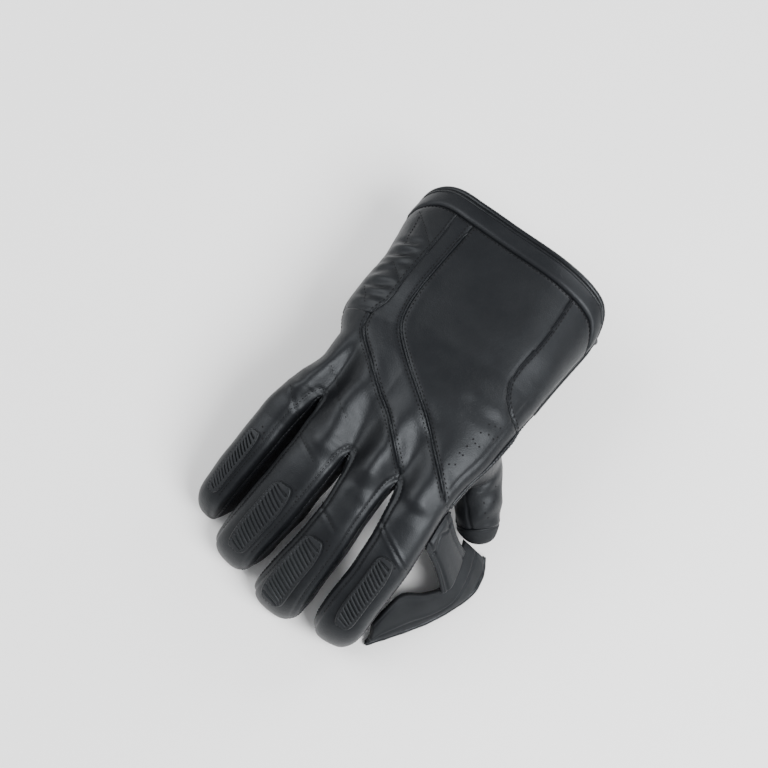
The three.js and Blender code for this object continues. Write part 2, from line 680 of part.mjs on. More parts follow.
function slitGusset(n) {
  const low = crotch(n);
  const rowsTo = (i) => [0.008, 0.035, 0.09, 0.2, 0.36, 0.52, 0.68, 0.84, 1].map(
    (u) => mix(low, gussetEnd(i), u),
  );
  const lower = rowsTo(n).reverse().map((s) => ({ i: n, x: fingerSides(n, s)[1], s }));
  const upper = rowsTo(n + 1).map((s) => ({ i: n + 1, x: fingerSides(n + 1, s)[0], s }));
  const apex = { i: n, x: lineAt(n + 1, low), s: low };
  return wall([...lower, apex, ...upper], (p) => gussetTop(gussetHalf, p.i, p.s));
}

const littleWall = evenly(0.385, gussetEnd(3) / gloveLength, 12).map((q) => {
  const s = q * gloveLength;
  return { i: 3, x: fingerSides(3, s)[1], s };
}).reverse();
const indexWall = evenly(0.560, gussetEnd(0) / gloveLength, 10).map((q) => {
  const s = q * gloveLength;
  return { i: 0, x: fingerSides(0, s)[0], s };
});

// Piping round the cuff's edge, from wrist to wrist
function edgeLine(radius) {
  const off = radius + 1.3 * seamGap;
  const rowsFrom = (q) => evenly(q, 0.14, 7).map((v) => v * gloveLength);
  const sidePoint = (i, f, s) => {
    const x = fingerSides(i, s)[f];
    const half = f === 0 ? thumbSideHalf(s) : littleSideHalf(s);
    return bend(x + (f === 0 ? 1 : -1) * leather * 0.5, s, Math.min(half, cuffEdgeHalf) - off);
  };
  const points = rowsFrom(0.36).map((s) => sidePoint(3, 1, s));
  const across = [];
  for (let i = 3; i >= 0; i -= 1) {
    const shares = columnsOf(i).reverse();
    for (const f of i === 0 ? shares : shares.slice(0, -1)) across.push({ i, f, s: cuffStart(i, f) });
  }
  const flat = across.map((c) => {
    const x = mix(...fingerSides(c.i, c.s), c.f);
    return [x, c.s, faceHeight(c.i, x, c.s, false)];
  });
  flat.forEach((p, j) => {
    const t = unit(sub(flat[Math.min(j + 1, flat.length - 1)], flat[Math.max(j - 1, 0)]));
    const d = 0.25;
    const i = across[j].i;
    const [lo, hi] = fingerSides(i, p[1]);
    const xa = clamp(p[0] - d, lo, hi);
    const xb = clamp(p[0] + d, lo, hi);
    const zx = (faceHeight(i, xb, p[1], false) - faceHeight(i, xa, p[1], false)) / (xb - xa);
    const zs = (faceHeight(i, p[0], p[1] + d, false) - faceHeight(i, p[0], p[1] - d, false)) / (2 * d);
    const n = unit([-zx, -zs, 1]);
    let out = unit(cross(n, t));
    if (out[1] > 0.2 || (Math.abs(out[1]) <= 0.2 && out[2] > 0)) out = scale(out, -1);
    const q = add(add(p, scale(n, -leather / 2)), scale(out, off));
    points.push(bend(q[0], q[1], q[2]));
  });
  for (const s of rowsFrom(0.33).reverse()) points.push(sidePoint(0, 0, s));
  return points;
}

// Binding of the cuff front's open edge
function palmEdgeLine(radius) {
  const s = palmCuffEnd * gloveLength;
  const points = [];
  for (let i = 3; i >= 0; i -= 1) {
    for (const f of [0.93, 0.8, 0.5, 0.2, 0.07]) {
      const x = mix(...fingerSides(i, s), f);
      const p = facePoint(i, x, s, true, -rubber / 2);
      const up = Math.max(p[2], radius);
      points.push([p[0], p[1] - radius - seamGap, up]);
    }
  }
  return points;
}

// A plate lying on the back, between two across and two along limits
function plate(i, rows, base, heightAt) {
  const outer = rows.map((row, j) => row.map((c, k) => facePoint(i, c[0], c[1], false, base + heightAt(j, k))));
  const inner = rows.map((row) => row.map((c) => facePoint(i, c[0], c[1], false, base)));
  return slab(outer, inner);
}

function guard(g) {
  const count = guardRibs * 2 + 3;
  const rows = [];
  for (let j = 0; j < count; j += 1) {
    const r = j / (count - 1);
    const q = mix(g.start, g.end, r);
    const narrow = 1 - 0.42 * Math.abs(2 * r - 1) ** 7;
    rows.push([-1, -0.76, 0, 0.76, 1].map((c) => {
      const s = (q - guardSlant * c * Math.min(1, 6 * r, 6 * (1 - r))) * gloveLength;
      const [lo, hi] = fingerSides(g.finger, s);
      return [mix(lo, hi, g.centre + g.half * c * narrow), s];
    }));
  }
  const inRibs = (j, k) => j > 1 && j < count - 2 && k > 0 && k < 4;
  return plate(g.finger, rows, seamGap, (j, k) => {
    const rib = inRibs(j, k) && j % 2 === 1 ? 0 : ribHeight;
    return guardBase + (inRibs(j, k) ? rib : ribHeight * 0.6);
  });
}

// A raised welt that follows a line on the back
function welt(table, from, to) {
  const line = finer(table.map(([a, q]) => [a * cuffHalfWidth, q * gloveLength, 0]), 3);
  const kept = line.filter((p) => p[1] >= from * gloveLength && p[1] <= to * gloveLength);
  const rows = kept.map((p, j) => {
    const t = unit(sub(kept[Math.min(j + 1, kept.length - 1)], kept[Math.max(j - 1, 0)]));
    return [-0.5, 0, 0.5].map((c) => [p[0] - t[1] * c * weltWidth, p[1] + t[0] * c * weltWidth]);
  });
  const heightAt = (c, off) => facePoint(columnOf(c[0], c[1]), c[0], c[1], false, off);
  const outer = rows.map((row) => row.map((c, k) => heightAt(c, weltBase + weltHeight * (k === 1 ? 1 : 0.5))));
  const inner = rows.map((row) => row.map((c) => heightAt(c, weltBase)));
  return slab(outer, inner);
}

// Thumb, a stall that hangs from the opening in the thumb side
const thumbSides = 14;
const mouthS = thumbMouth.centre * gloveLength;
const mouthPoint = (angle, inset) => {
  const half = thumbMouth.half * gloveLength - inset;
  const s = mouthS - half * Math.cos(angle);
  const edge = fingerSides(0, s)[0];
  const from = [edge, thumbSideHalf(s)];
  const to = [edge + insetAt(s), -thumbSideHalf(s, true)];
  const reachHalf = Math.hypot(to[0] - from[0], to[1] - from[1]) / 2;
  const way = [(from[0] - to[0]) / (2 * reachHalf), (from[1] - to[1]) / (2 * reachHalf)];
  const r = (Math.min(reachHalf * thumbMouth.height, reachHalf) - inset) * Math.sin(angle);
  const x = (from[0] + to[0]) / 2 + way[0] * r - way[1] * 2 * seamGap;
  const z = (from[1] + to[1]) / 2 + way[1] * r + way[0] * 2 * seamGap;
  return bend(x, s, z);
};
const thumbBase = mix3(mouthPoint(Math.PI / 2, 0), mouthPoint(-Math.PI / 2, 0), 0.5);
const thumbPath = new THREE.CatmullRomCurve3(
  thumbLine.map((p) => new THREE.Vector3(...add(thumbBase, scale(p, thumbLength)))),
  false,
  'centripetal',
);
const arcTo = (u) => thumbPath.getPointAt(clamp(u, 0, 1)).toArray();
const thumbFrame = (u) => {
  const t = thumbPath.getTangentAt(clamp(u, 0, 1)).toArray();
  const lean = mix3([-1, 0, 0.3], [-0.35, 0.15, 1], smooth(0.02, 0.5, u));
  const w = unit(cross(lean, t));
  return { centre: arcTo(u), w, up: cross(t, w), t };
};
const ringPoint = (ring, angle, inset) => {
  const fr = thumbFrame(ring.along);
  const a = thumbHalfWidth * ring.width - inset;
  const b = thumbHalfDepth * ring.depth - inset;
  const p = add(fr.centre, add(scale(fr.w, a * Math.cos(angle)), scale(fr.up, b * Math.sin(angle))));
  const free = 1 - smooth(0.1, 0.5, ring.along);
  const m = mouthPoint(angle, inset);
  const lift = add(m, sub(fr.centre, thumbBase));
  return mix3(p, lift, free * 0.6);
};

function thumbHalf(from, sign, thickness) {
  const split = 0.022;
  const angles = evenly(split * Math.PI, (1 - split) * Math.PI, thumbSides / 2).map((a) => a * sign);
  const grid = (inset) => {
    const rows = [];
    rows.push(angles.map((a) => mouthPoint(a, inset)));
    for (let j = 0; j <= from; j += 1) rows.push(angles.map((a) => ringPoint(thumbRings[j], a, inset)));
    return rows;
  };
  return slab(grid(0), grid(thickness));
}

function thumbCap(from, thickness) {
  const angles = evenly(0, 2 * Math.PI, thumbSides).slice(0, -1);
  const shift = 2 * seamGap / thumbLength;
  const first = { ...thumbRings[from], along: thumbRings[from].along + shift };
  const outerRings = [first, ...thumbRings.slice(from + 1)];
  const outer = outerRings.map((r) => angles.map((a) => ringPoint(r, a, 0)));
  const innerRings = outerRings.map((r, j) => ({
    along: j === 0 ? r.along : r.along - (thickness * j) / outerRings.length / thumbLength,
    width: r.width * (1 - thickness / thumbHalfWidth),
    depth: r.depth * (1 - thickness / thumbHalfDepth),
  }));
  const inner = innerRings.map((r) => angles.map((a) => ringPoint(r, a, thickness * 0.3)));
  const end = thumbFrame(1);
  const pole = add(end.centre, scale(end.t, 0.27 * leather));
  const innerPole = sub(end.centre, scale(end.t, thickness));
  return cup(outer, inner, pole, innerPole);
}

// Web band between the thumb's end and the index finger's end
const webStart = arcTo(1);
const webFinish = bend(fingerSides(0, webFingerEnd * gloveLength)[0], webFingerEnd * gloveLength, 0);
const run = [webFinish[0] - webStart[0], webFinish[1] - webStart[1], 0];
const runLength = Math.hypot(run[0], run[1]);
const runWay = unit(run);
const outWay = [-runWay[1], runWay[0], 0];
const webOrigin = [webStart[0], webStart[1], 0];
const onWeb = (along, out, up) => add(
  add(webOrigin, add(scale(runWay, along * runLength), scale(outWay, out * runLength))),
  [0, 0, up * runLength],
);
const webRow = (r) => {
  const a = onWeb(r.along, r.out, r.low);
  const b = onWeb(r.along - r.back, r.inner, r.high);
  const n = unit(cross(sub(b, a), runWay));
  const out = dot(n, outWay) < 0 ? scale(n, -1) : n;
  const mid = add(mix3(a, b, 0.5), scale(out, 0.018 * runLength));
  return { line: [a, mid, b], out };
};
const webRows = webTable.map(webRow);
const webOuter = webRows.map((r) => r.line);
const webInner = webRows.map((r) => r.line.map((p) => sub(p, scale(r.out, webThickness))));
const rollLine = webRows.map((r) => {
  const down = unit(sub(r.line[0], r.line[1]));
  const p = add(sub(r.line[0], scale(r.out, webThickness / 2)), scale(down, webRollRadius + 2 * seamGap));
  return add(p, scale(r.out, Math.max(0, webRollRadius - p[2]) / r.out[2]));
});

// Stem from the web band up to the hand's edge
const webAt = (along) => {
  const inner = webTable.map((r) => [r.along - r.back, r.inner]);
  const high = webTable.map((r) => [r.along - r.back, r.high]);
  return onWeb(along, curve(inner, along), curve(high, along));
};
function stemGrid() {
  const middleRow = mix(...stemHand, 0.5) * gloveLength;
  const middle = bend(fingerSides(0, middleRow)[0] - stemThickness, middleRow, -stemThickness);
  const rows = evenly(0, 1, 3).map((c) => {
    const s = mix(stemHand[0], stemHand[1], c) * gloveLength;
    const top = bend(fingerSides(0, s)[0] - (seamGap + stemThickness) / 2, s, -gussetHalf * 0.4);
    const low = webAt(mix(stemBand[0], stemBand[1], c));
    const way = unit(sub(low, top));
    const from = top;
    const to = sub(low, scale(way, 3 * seamGap));
    return evenly(0, 1, 4).map((v) => {
      const p = mix3(from, to, v);
      const waist = 1 - 0.16 * Math.sin(Math.PI * v);
      const centre = mix3(middle, webAt(mix(...stemBand, 0.5)), v);
      return mix3(centre, p, waist);
    });
  });
  const normalOf = (j, k) => {
    const a = rows[Math.max(j - 1, 0)][k];
    const b = rows[Math.min(j + 1, rows.length - 1)][k];
    const c = rows[j][Math.max(k - 1, 0)];
    const d = rows[j][Math.min(k + 1, rows[0].length - 1)];
    const n = unit(cross(sub(b, a), sub(d, c)));
    return dot(n, outWay) < 0 ? scale(n, -1) : n;
  };
  const shift = (amount) => rows.map((row, j) => row.map((p, k) => add(p, scale(normalOf(j, k), amount))));
  return [shift(stemThickness / 2), shift(-stemThickness / 2)];
}

// Materials and the assembled group
const group = new THREE.Group();
const looks = {
  leather: { color: 0x1b1c1e, roughness: 0.5 },
  lining: { color: 0x141517, roughness: 0.9 },
  rubber: { color: 0x15171c, roughness: 0.8 },
  guard: { color: 0x1a1b1c, roughness: 0.6 },
};

function addPart(name, solid, look) {
  const shape = solid.points ? solid : fromManifold(solid);
  const geometry = new THREE.BufferGeometry();
  geometry.setAttribute('position', new THREE.Float32BufferAttribute(shape.points.flat(), 3));
  geometry.setIndex(shape.faces.flat());
  geometry.computeVertexNormals();
  const mesh = new THREE.Mesh(geometry, new THREE.MeshStandardMaterial(looks[look]));
  mesh.name = name;
  group.add(mesh);
}

addPart('back_hand_panel', backHandPanel, 'leather');
addPart('index_strip_panel', indexStripPanel, 'leather');
addPart('cuff_main_panel', cuffMainPanel, 'leather');
addPart('cuff_wedge_panel', cuffWedgePanel, 'leather');
addPart('cuff_side_panel', cuffSidePanel, 'leather');
addPart('cuff_end_border', sheet(borderCells, leather, false), 'leather');
addPart('cuff_rim_piping', cord(edgeLine(pipingRadius), pipingRadius), 'leather');
addPart('palm_rubber_panel', sheet(palmCells.map((c) => [...c].reverse()), rubber, true), 'rubber');
addPart('cuff_palm_panel', sheet(palmCuffCells.map((c) => [...c].reverse()), rubber, true), 'leather');
addPart('cuff_palm_binding', cord(palmEdgeLine(bindingRadius), bindingRadius), 'leather');
addPart('finger_gusset_index_middle', slitGusset(0), 'lining');
addPart('finger_gusset_middle_ring', slitGusset(1), 'lining');
addPart('finger_gusset_ring_little', slitGusset(2), 'lining');
addPart('side_gusset_little', wall(littleWall, (p) => gussetTop(littleSideHalf(p.s), 3, p.s)), 'lining');
addPart('side_gusset_index', wall(indexWall, (p) => gussetTop(thumbSideHalf(p.s), 0, p.s)), 'lining');
for (const g of guardTable) addPart(g.name, guard(g), 'guard');
addPart('thumb_back', thumbHalf(thumbCapRing, 1, leather), 'leather');
addPart('thumb_palm', thumbHalf(thumbCapRing, -1, rubber), 'rubber');
addPart('thumb_cap', thumbCap(thumbCapRing, leather), 'leather');
addPart('web_band', slab(webOuter, webInner), 'leather');
addPart('web_edge_roll', cord(rollLine, webRollRadius), 'leather');
addPart('web_stem', slab(...stemGrid()), 'leather');
addPart('seam_welt_cuff', welt(mainSeam, 0.10, 0.585), 'leather');
addPart('seam_welt_back', welt(backSeam, 0.40, 0.592), 'leather');

// The part lies centred over its origin, its lowest point on the floor plane
const bounds = new THREE.Box3().setFromObject(group);
const centrePoint = bounds.getCenter(new THREE.Vector3());
for (const mesh of group.children) mesh.geometry.translate(-centrePoint.x, -centrePoint.y, -bounds.min.z);

export default group;
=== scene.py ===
import math

import bpy
import numpy as np
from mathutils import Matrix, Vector


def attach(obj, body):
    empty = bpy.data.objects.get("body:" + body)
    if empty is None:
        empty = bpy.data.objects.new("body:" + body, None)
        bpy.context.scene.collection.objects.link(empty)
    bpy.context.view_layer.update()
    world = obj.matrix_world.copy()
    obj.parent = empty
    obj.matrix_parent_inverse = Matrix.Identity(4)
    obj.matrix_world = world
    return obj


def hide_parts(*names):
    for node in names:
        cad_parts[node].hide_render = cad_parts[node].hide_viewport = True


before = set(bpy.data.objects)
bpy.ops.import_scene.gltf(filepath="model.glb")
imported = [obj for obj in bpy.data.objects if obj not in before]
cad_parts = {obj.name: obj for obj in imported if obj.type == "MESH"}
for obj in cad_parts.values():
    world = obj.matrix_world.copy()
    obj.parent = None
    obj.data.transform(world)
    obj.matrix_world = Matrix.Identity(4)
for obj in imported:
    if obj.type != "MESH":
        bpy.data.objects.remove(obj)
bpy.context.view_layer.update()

# Driving sizes of the glove, in millimetres, as the frame was built
LENGTH = 300.0
HALF = 76.0
MIDDLE_HEIGHT = 47.0
LEATHER = 2.2
RUBBER = 2.6
GAP = 0.36
GUSSET = 6.5
CUFF_EDGE = 3.0
MOUTH_DEPTH = 15.0
SLIT = 8.0
TIP = 30.0
BACK_RISE = 36.0
PALM_DROP = 54.0
FINGER_RISE = 10.5
FINGER_BLEND = 56.0
BORDER = 14.0
SLIT_ROUND = 4.25 * SLIT
SLIT_SEAM = 3.9
EDGE_SEAM = 6.5
CUFF_CORNER = 14.0
PIPING = 2.1
BINDING = 1.9
ROLL = 1.9
WEB_THICK = 3.4
STEM_THICK = 2.8
OFFSET = np.array([5.163, -142.293, 0.0])

# Shape tables: share of length, then a share of the size they scale
SLOPE = [(0, 10), (0.36, 10), (0.55, -4), (0.80, -29), (1.03, -53), (1.12, -57)]
ARCH = [(0, 0.045), (0.30, 0.075), (0.50, 0.225), (0.65, 0.35), (1.12, 0.335)]
ARCH_X = -0.2 * HALF
THUMB_EDGE = [(0, -1.0), (0.10, -0.99), (0.25, -0.94), (0.38, -0.90), (0.48, -0.86), (0.56, -0.79),
              (0.64, -0.76), (0.75, -0.77), (0.86, -0.73), (1.0, -0.68), (1.05, -0.67)]
LINE_1 = [(0, -0.36), (0.60, -0.31), (0.70, -0.31), (0.80, -0.30), (0.90, -0.25), (1.05, -0.20)]
LINE_2 = [(0, 0.10), (0.60, 0.14), (0.70, 0.15), (0.80, 0.20), (0.90, 0.29), (1.05, 0.42)]
LINE_3 = [(0, 0.50), (0.50, 0.58), (0.60, 0.64), (0.70, 0.69), (0.80, 0.76), (1.05, 0.94)]
LITTLE_EDGE = [(0, 0.99), (0.08, 0.99), (0.22, 0.94), (0.33, 0.96), (0.37, 0.92), (0.42, 0.82),
               (0.47, 0.82), (0.55, 0.93), (0.64, 1.04), (0.75, 1.10), (0.90, 1.17), (1.05, 1.18)]
LINES = [THUMB_EDGE, LINE_1, LINE_2, LINE_3, LITTLE_EDGE]
CROTCH = [0.625 * LENGTH, 0.625 * LENGTH, 0.555 * LENGTH]
TIPS = [1.012 * LENGTH, 1.03 * LENGTH, 1.005 * LENGTH, 0.955 * LENGTH]
THUMB_SIDE = [(0, 0, 0), (0.33, 0, 0), (0.38, 0.7, 0.45), (0.44, 1, 1), (0.49, 1, 0.9), (0.555, 1, 0),
              (1.12, 1, 0)]
MOUTH_INSET = 0.17
LITTLE_SIDE = [(0, 0), (0.36, 0), (0.42, 1), (1.12, 1)]
BACK = [(0, 1), (0.2, 0.88), (0.38, 0.58), (0.48, 0.47), (0.60, 0.36), (0.66, 0.31), (1.12, 0.28)]
PALM = [(0, 1), (0.12, 1), (0.2, 0.86), (0.30, 0.58), (0.38, 0.42), (0.48, 0.35), (0.60, 0.27),
        (0.66, 0.20), (1.12, 0.19)]
HOLLOW = [(0, 0), (0.34, 0), (0.43, 0.5), (0.54, 0.5), (0.62, 0), (1.12, 0)]
FINGER = [(0, 1), (0.6, 1.12), (0.7, 1), (1.12, 0.95)]
CUFF_END = [(-1, 0.115), (-0.96, 0.080), (-0.85, 0.056), (-0.45, 0.047), (0, 0.042), (0.40, 0.032),
            (0.75, 0.018), (0.92, 0.028), (0.98, 0.052), (1, 0.085)]
PALM_CUFF_END = 0.05
WRIST = 0.375 * LENGTH

# Seams on the back: share of cuff half width, share of length
MAIN_SEAM = [(0.36, -0.06), (0.38, 0.086), (0.41, 0.196), (0.43, 0.282), (0.42, 0.317), (0.37, 0.359),
             (0.16, 0.413), (-0.09, 0.462), (-0.27, 0.497), (-0.54, 0.562), (-0.70, 0.600)]
STRIP_SEAM = [(0.53, -0.06), (0.55, 0.133), (0.57, 0.196), (0.59, 0.261), (0.60, 0.322), (0.66, 0.362)]
BACK_SEAM = [(0.66, 0.362), (0.62, 0.398), (0.40, 0.450), (0.18, 0.497), (0.05, 0.520), (-0.10, 0.555),
             (-0.22, 0.585), (-0.30, 0.606)]
SIDE_SEAM = [(-0.65, -0.06), (-0.65, 0.086), (-0.66, 0.210), (-0.62, 0.299), (-0.62, 0.331), (-0.68, 0.366),
             (-0.75, 0.383), (-0.88, 0.397)]
KNUCKLE_LINE = [(0.66, 0.495), (0.62, 0.504), (0.54, 0.523), (0.42, 0.551), (0.33, 0.565), (0.27, 0.576)]
KNUCKLES = [[(0.85, 0.572), (0.83, 0.576), (0.71, 0.611), (0.69, 0.617)],
            [(0.58, 0.643), (0.54, 0.649), (0.36, 0.672), (0.31, 0.680)],
            [(0.13, 0.738), (0.10, 0.742), (-0.04, 0.756), (-0.13, 0.768)],
            [(-0.38, 0.702), (-0.43, 0.712), (-0.71, 0.754), (-0.76, 0.760)]]
ZIGZAG = [[(0.88, 0.089), (0.59, 0.168)], [(0.84, 0.105), (0.80, 0.184)], [(0.78, 0.233), (0.60, 0.278)],
          [(0.87, 0.306), (0.76, 0.345)]]
# Vent holes of the hand, in the same shares
HOLES = [(-0.67, 0.432), (-0.72, 0.427), (-0.76, 0.422), (-0.65, 0.455), (-0.71, 0.448), (-0.63, 0.474),
         (-0.76, 0.448), (-0.78, 0.439), (-0.62, 0.492), (-0.66, 0.478), (-0.70, 0.478), (-0.60, 0.511),
         (-0.63, 0.511), (-0.58, 0.541), (-0.62, 0.534)]
# Vent holes of the fingers: finger, share of its width, share of length
VENTS = [(3, 0.38, 0.677), (3, 0.26, 0.686), (3, 0.21, 0.698), (2, 0.24, 0.744), (2, 0.16, 0.754),
         (2, 0.13, 0.765), (1, 0.38, 0.791), (1, 0.29, 0.796), (1, 0.28, 0.807), (0, 0.31, 0.756),
         (0, 0.28, 0.765)]
# Vent holes of the thumb: share along, angle round
THUMB_VENTS = [(0.36, 1.15), (0.50, 1.55), (0.50, 1.10), (0.60, 1.5), (0.66, 1.35)]
# Guards: node, finger, start and end in shares of length, middle and half width in shares of the finger
GUARDS = [("guard_index", 0, 0.755, 0.925, 0.47, 0.20), ("guard_middle", 1, 0.797, 0.972, 0.55, 0.25),
          ("guard_ring", 2, 0.745, 0.925, 0.42, 0.22), ("guard_little", 3, 0.690, 0.860, 0.42, 0.19)]

# Seams sewn into the back: name, depth and half width in millimetres
SEAM_DIPS = [("main", 0.70, 1.05), ("strip", 0.65, 1.0), ("back", 0.62, 1.0), ("side", 0.70, 1.1),
             ("knuckle", 0.45, 0.7)]
# Folds on the back: line in shares, depth and half width in millimetres
FOLDS = [
    ([(0.66, 0.17), (0.78, 0.175), (0.90, 0.165)], 0.9, 2.2),
    ([(0.66, 0.20), (0.80, 0.212), (0.92, 0.205)], 1.1, 2.6),
    ([(0.64, 0.245), (0.76, 0.25), (0.90, 0.262)], 1.0, 2.4),
    ([(0.66, 0.29), (0.78, 0.30), (0.92, 0.297)], 0.8, 2.4),
    ([(-0.55, 0.33), (-0.30, 0.355), (0.0, 0.345), (0.2, 0.325)], 0.5, 6.0),
    ([(-0.80, 0.41), (-0.60, 0.425), (-0.35, 0.41)], 0.8, 4.5),
    ([(-0.10, 0.565), (0.05, 0.60), (0.16, 0.66)], 0.35, 4.5),
    ([(0.30, 0.47), (0.45, 0.50), (0.50, 0.56)], 0.35, 4.5),
    ([(-0.30, 0.64), (-0.55, 0.655), (-0.72, 0.650)], 0.5, 3.4),
    ([(-0.02, 0.68), (-0.12, 0.70), (-0.22, 0.69)], 0.35, 3.2),
    ([(0.2, 0.61), (0.32, 0.625), (0.46, 0.61)], 0.35, 3.2),
    ([(0.74, 0.54), (0.82, 0.55), (0.92, 0.54)], 0.4, 3.0),
]
# Creases of the palm: share of length, depth in millimetres
PALM_FOLDS = [(0.585, 1.4), (0.62, 1.0), (0.50, 0.8)]


def curve(table, q, column=1):
    """Monotone smooth curve through a table's rows."""
    t = np.array(table, float)
    x, y = t[:, 0], t[:, column]
    h = np.diff(x)
    m = np.diff(y) / h
    d = np.zeros(len(x))
    d[0], d[-1] = m[0], m[-1]
    for i in range(1, len(x) - 1):
        a, b = m[i - 1], m[i]
        if a * b > 0:
            wa, wb = 2 * h[i] + h[i - 1], h[i] + 2 * h[i - 1]
            d[i] = (wa + wb) / (wa / a + wb / b)
    q = np.clip(np.asarray(q, float), x[0], x[-1])
    i = np.clip(np.searchsorted(x, q, side="right") - 1, 0, len(x) - 2)
    u = (q - x[i]) / h[i]
    v = 1 - u
    return ((1 + 2 * u) * v * v * y[i] + u * v * v * h[i] * d[i]
            + u * u * (3 - 2 * u) * y[i + 1] - u * u * v * h[i] * d[i + 1])


def straight(table, q):
    t = np.array(table, float)
    return np.interp(q, t[:, 0], t[:, 1])


def smooth(a, b, t):
    u = np.clip((t - a) / (b - a), 0, 1)
    return u * u * (3 - 2 * u)


def unit(v):
    return v / np.maximum(np.linalg.norm(v, axis=-1, keepdims=True), 1e-12)


def middle_line(steps=600, reach=1.12):
    q = np.linspace(0, reach, steps + 1)
    angle = np.radians(straight(SLOPE, q))
    step = reach * LENGTH / steps
    half = (angle[1:] + angle[:-1]) / 2
    y = np.concatenate([[0], np.cumsum(step * np.cos(half))])
    z = MIDDLE_HEIGHT + np.concatenate([[0], np.cumsum(step * np.sin(half))])
    return q * LENGTH, y, z, angle


MIDDLE = middle_line()


def bend(x, s, z):
    """Flat pattern point (across, along, off the middle line) to the row frame, in millimetres."""
    x, s, z = np.broadcast_arrays(*(np.asarray(v, float) for v in (x, s, z)))
    k = straight(ARCH, s / LENGTH) / HALF
    p = (x - ARCH_X) * k
    across = ARCH_X + (1 / k + z) * np.sin(p)
    off = (1 / k + z) * np.cos(p) - 1 / k
    y, h, a = (np.interp(s, MIDDLE[0], m) for m in MIDDLE[1:])
    return np.stack([across, y - off * np.sin(a), h + off * np.cos(a)], -1) + OFFSET


def line_at(n, s):
    return curve(LINES[n], s / LENGTH) * HALF


def inset_at(s):
    return MOUTH_INSET * HALF * curve(THUMB_SIDE, s / LENGTH, 2)


def slit_width(n, s):
    """Half width of a slit."""
    return 0.5 * SLIT * np.sqrt(np.clip((s - CROTCH[n]) / SLIT_ROUND, 0, 1))


def tip_share(i, s):
    """How far along the rounded fingertip, 0 to 1."""
    return np.clip((s - TIPS[i] + TIP) / TIP, 0, 1)


def finger_sides(i, s, palm=False):
    s = np.asarray(s, float)
    lo = line_at(i, s) + (inset_at(s) if palm and i == 0 else 0)
    hi = line_at(i + 1, s)
    if i > 0:
        lo = lo + slit_width(i - 1, s)
    if i < 3:
        hi = hi - slit_width(i, s)
    half = (hi - lo) / 2 * (1 - 0.5 * tip_share(i, s) ** 3.2)
    mid = (lo + hi) / 2
    return mid - half, mid + half


def across(i, s, share, palm=False):
    """The place at a share of a finger's width."""
    lo, hi = finger_sides(i, s, palm)
    return lo + (hi - lo) * share


def side_share(x, lo, hi):
    """-1 at one side, 1 at the other."""
    return (2 * x - lo - hi) / (hi - lo)


def thumb_side(s, palm=False):
    q = s / LENGTH
    base = CUFF_EDGE + (GUSSET - CUFF_EDGE) * curve(THUMB_SIDE, q, 1)
    return base + ((MOUTH_DEPTH - GUSSET) * curve(THUMB_SIDE, q, 2) if palm else 0)


def little_side(s):
    return CUFF_EDGE + (GUSSET - CUFF_EDGE) * curve(LITTLE_SIDE, s / LENGTH)


def slit_half(n, s):
    return GUSSET + (RUBBER + 2 * GAP) * (1 - smooth(CROTCH[n] + SLIT / 4, CROTCH[n] + 1.75 * SLIT, s))


def face_height(i, x, s, palm):
    """Height over the flat pattern: one dome for the hand, which parts into the fingers."""
    q = s / LENGTH
    left = finger_sides(0, np.minimum(s, CROTCH[2]), palm)[0]
    t = np.clip(side_share(x, left, line_at(4, s)), -1, 1)
    rise = PALM_DROP * curve(PALM, q) if palm else BACK_RISE * curve(BACK, q)
    thumb = thumb_side(s, palm)
    little = little_side(s)
    edge = thumb + (little - thumb) * (t + 1) / 2
    hollow = 1 - curve(HOLLOW, q) * smooth(0, 0.8, -t) if palm else 1
    hand = edge + rise * hollow * np.sqrt(np.maximum(0, 1 - np.abs(t) ** 3))
    xi = np.clip(side_share(x, *finger_sides(i, s, palm)), -1, 1)

    def over_width(a, b):
        return a + (b - a) * (xi + 1) / 2

    low, high = CROTCH[max(i - 1, 0)], CROTCH[min(i, 2)]
    u = tip_share(i, s)
    dome = np.sqrt(np.maximum(0, 1 - u ** 2.4))
    side = over_width(thumb if i == 0 else slit_half(i - 1, s), little if i == 3 else slit_half(i, s))
    tip_side = GAP + (side - GAP) * (1 - u * u)
    parted = over_width(smooth(low - SLIT / 2, low + 2.5 * SLIT, s) if i > 0 else 1.0,
                        smooth(high - SLIT / 2, high + 2.5 * SLIT, s) if i < 3 else 1.0)
    valley = (1 + np.cos(math.pi * xi)) / 2
    crown = valley + (np.sqrt(np.maximum(0, 1 - np.abs(xi) ** 2.6)) - valley) * parted
    finger = tip_side + FINGER_RISE * curve(FINGER, q) * dome * crown
    blend = over_width(smooth(low - FINGER_BLEND, low + SLIT / 4, s),
                       smooth(high - FINGER_BLEND, high + SLIT / 4, s))
    return hand + (finger - hand) * blend


def flat_normal(i, x, s, palm, d=0.4):
    zx = (face_height(i, x + d, s, palm) - face_height(i, x - d, s, palm)) / (2 * d)
    zs = (face_height(i, x, s + d, palm) - face_height(i, x, s - d, palm)) / (2 * d)
    zx = np.clip(zx, -6, 6)
    return unit(np.stack([-zx, -zs, np.ones_like(zx)], -1))


def face_point(i, x, s, palm, off=0.0):
    """Outer face, moved off it along its normal."""
    x, s = np.broadcast_arrays(np.asarray(x, float), np.asarray(s, float))
    n = flat_normal(i, x, s, palm)
    z = face_height(i, x, s, palm)
    off = np.asarray(off, float)
    z = z + n[..., 2] * off
    return bend(x + n[..., 0] * off, s + n[..., 1] * off, -z if palm else z)


def by_finger(owner, point):
    """Points worked out finger by finger."""
    out = np.zeros(owner.shape + (3,))
    for i in range(4):
        m = owner == i
        if m.any():
            out[m] = point(i, m)
    return out


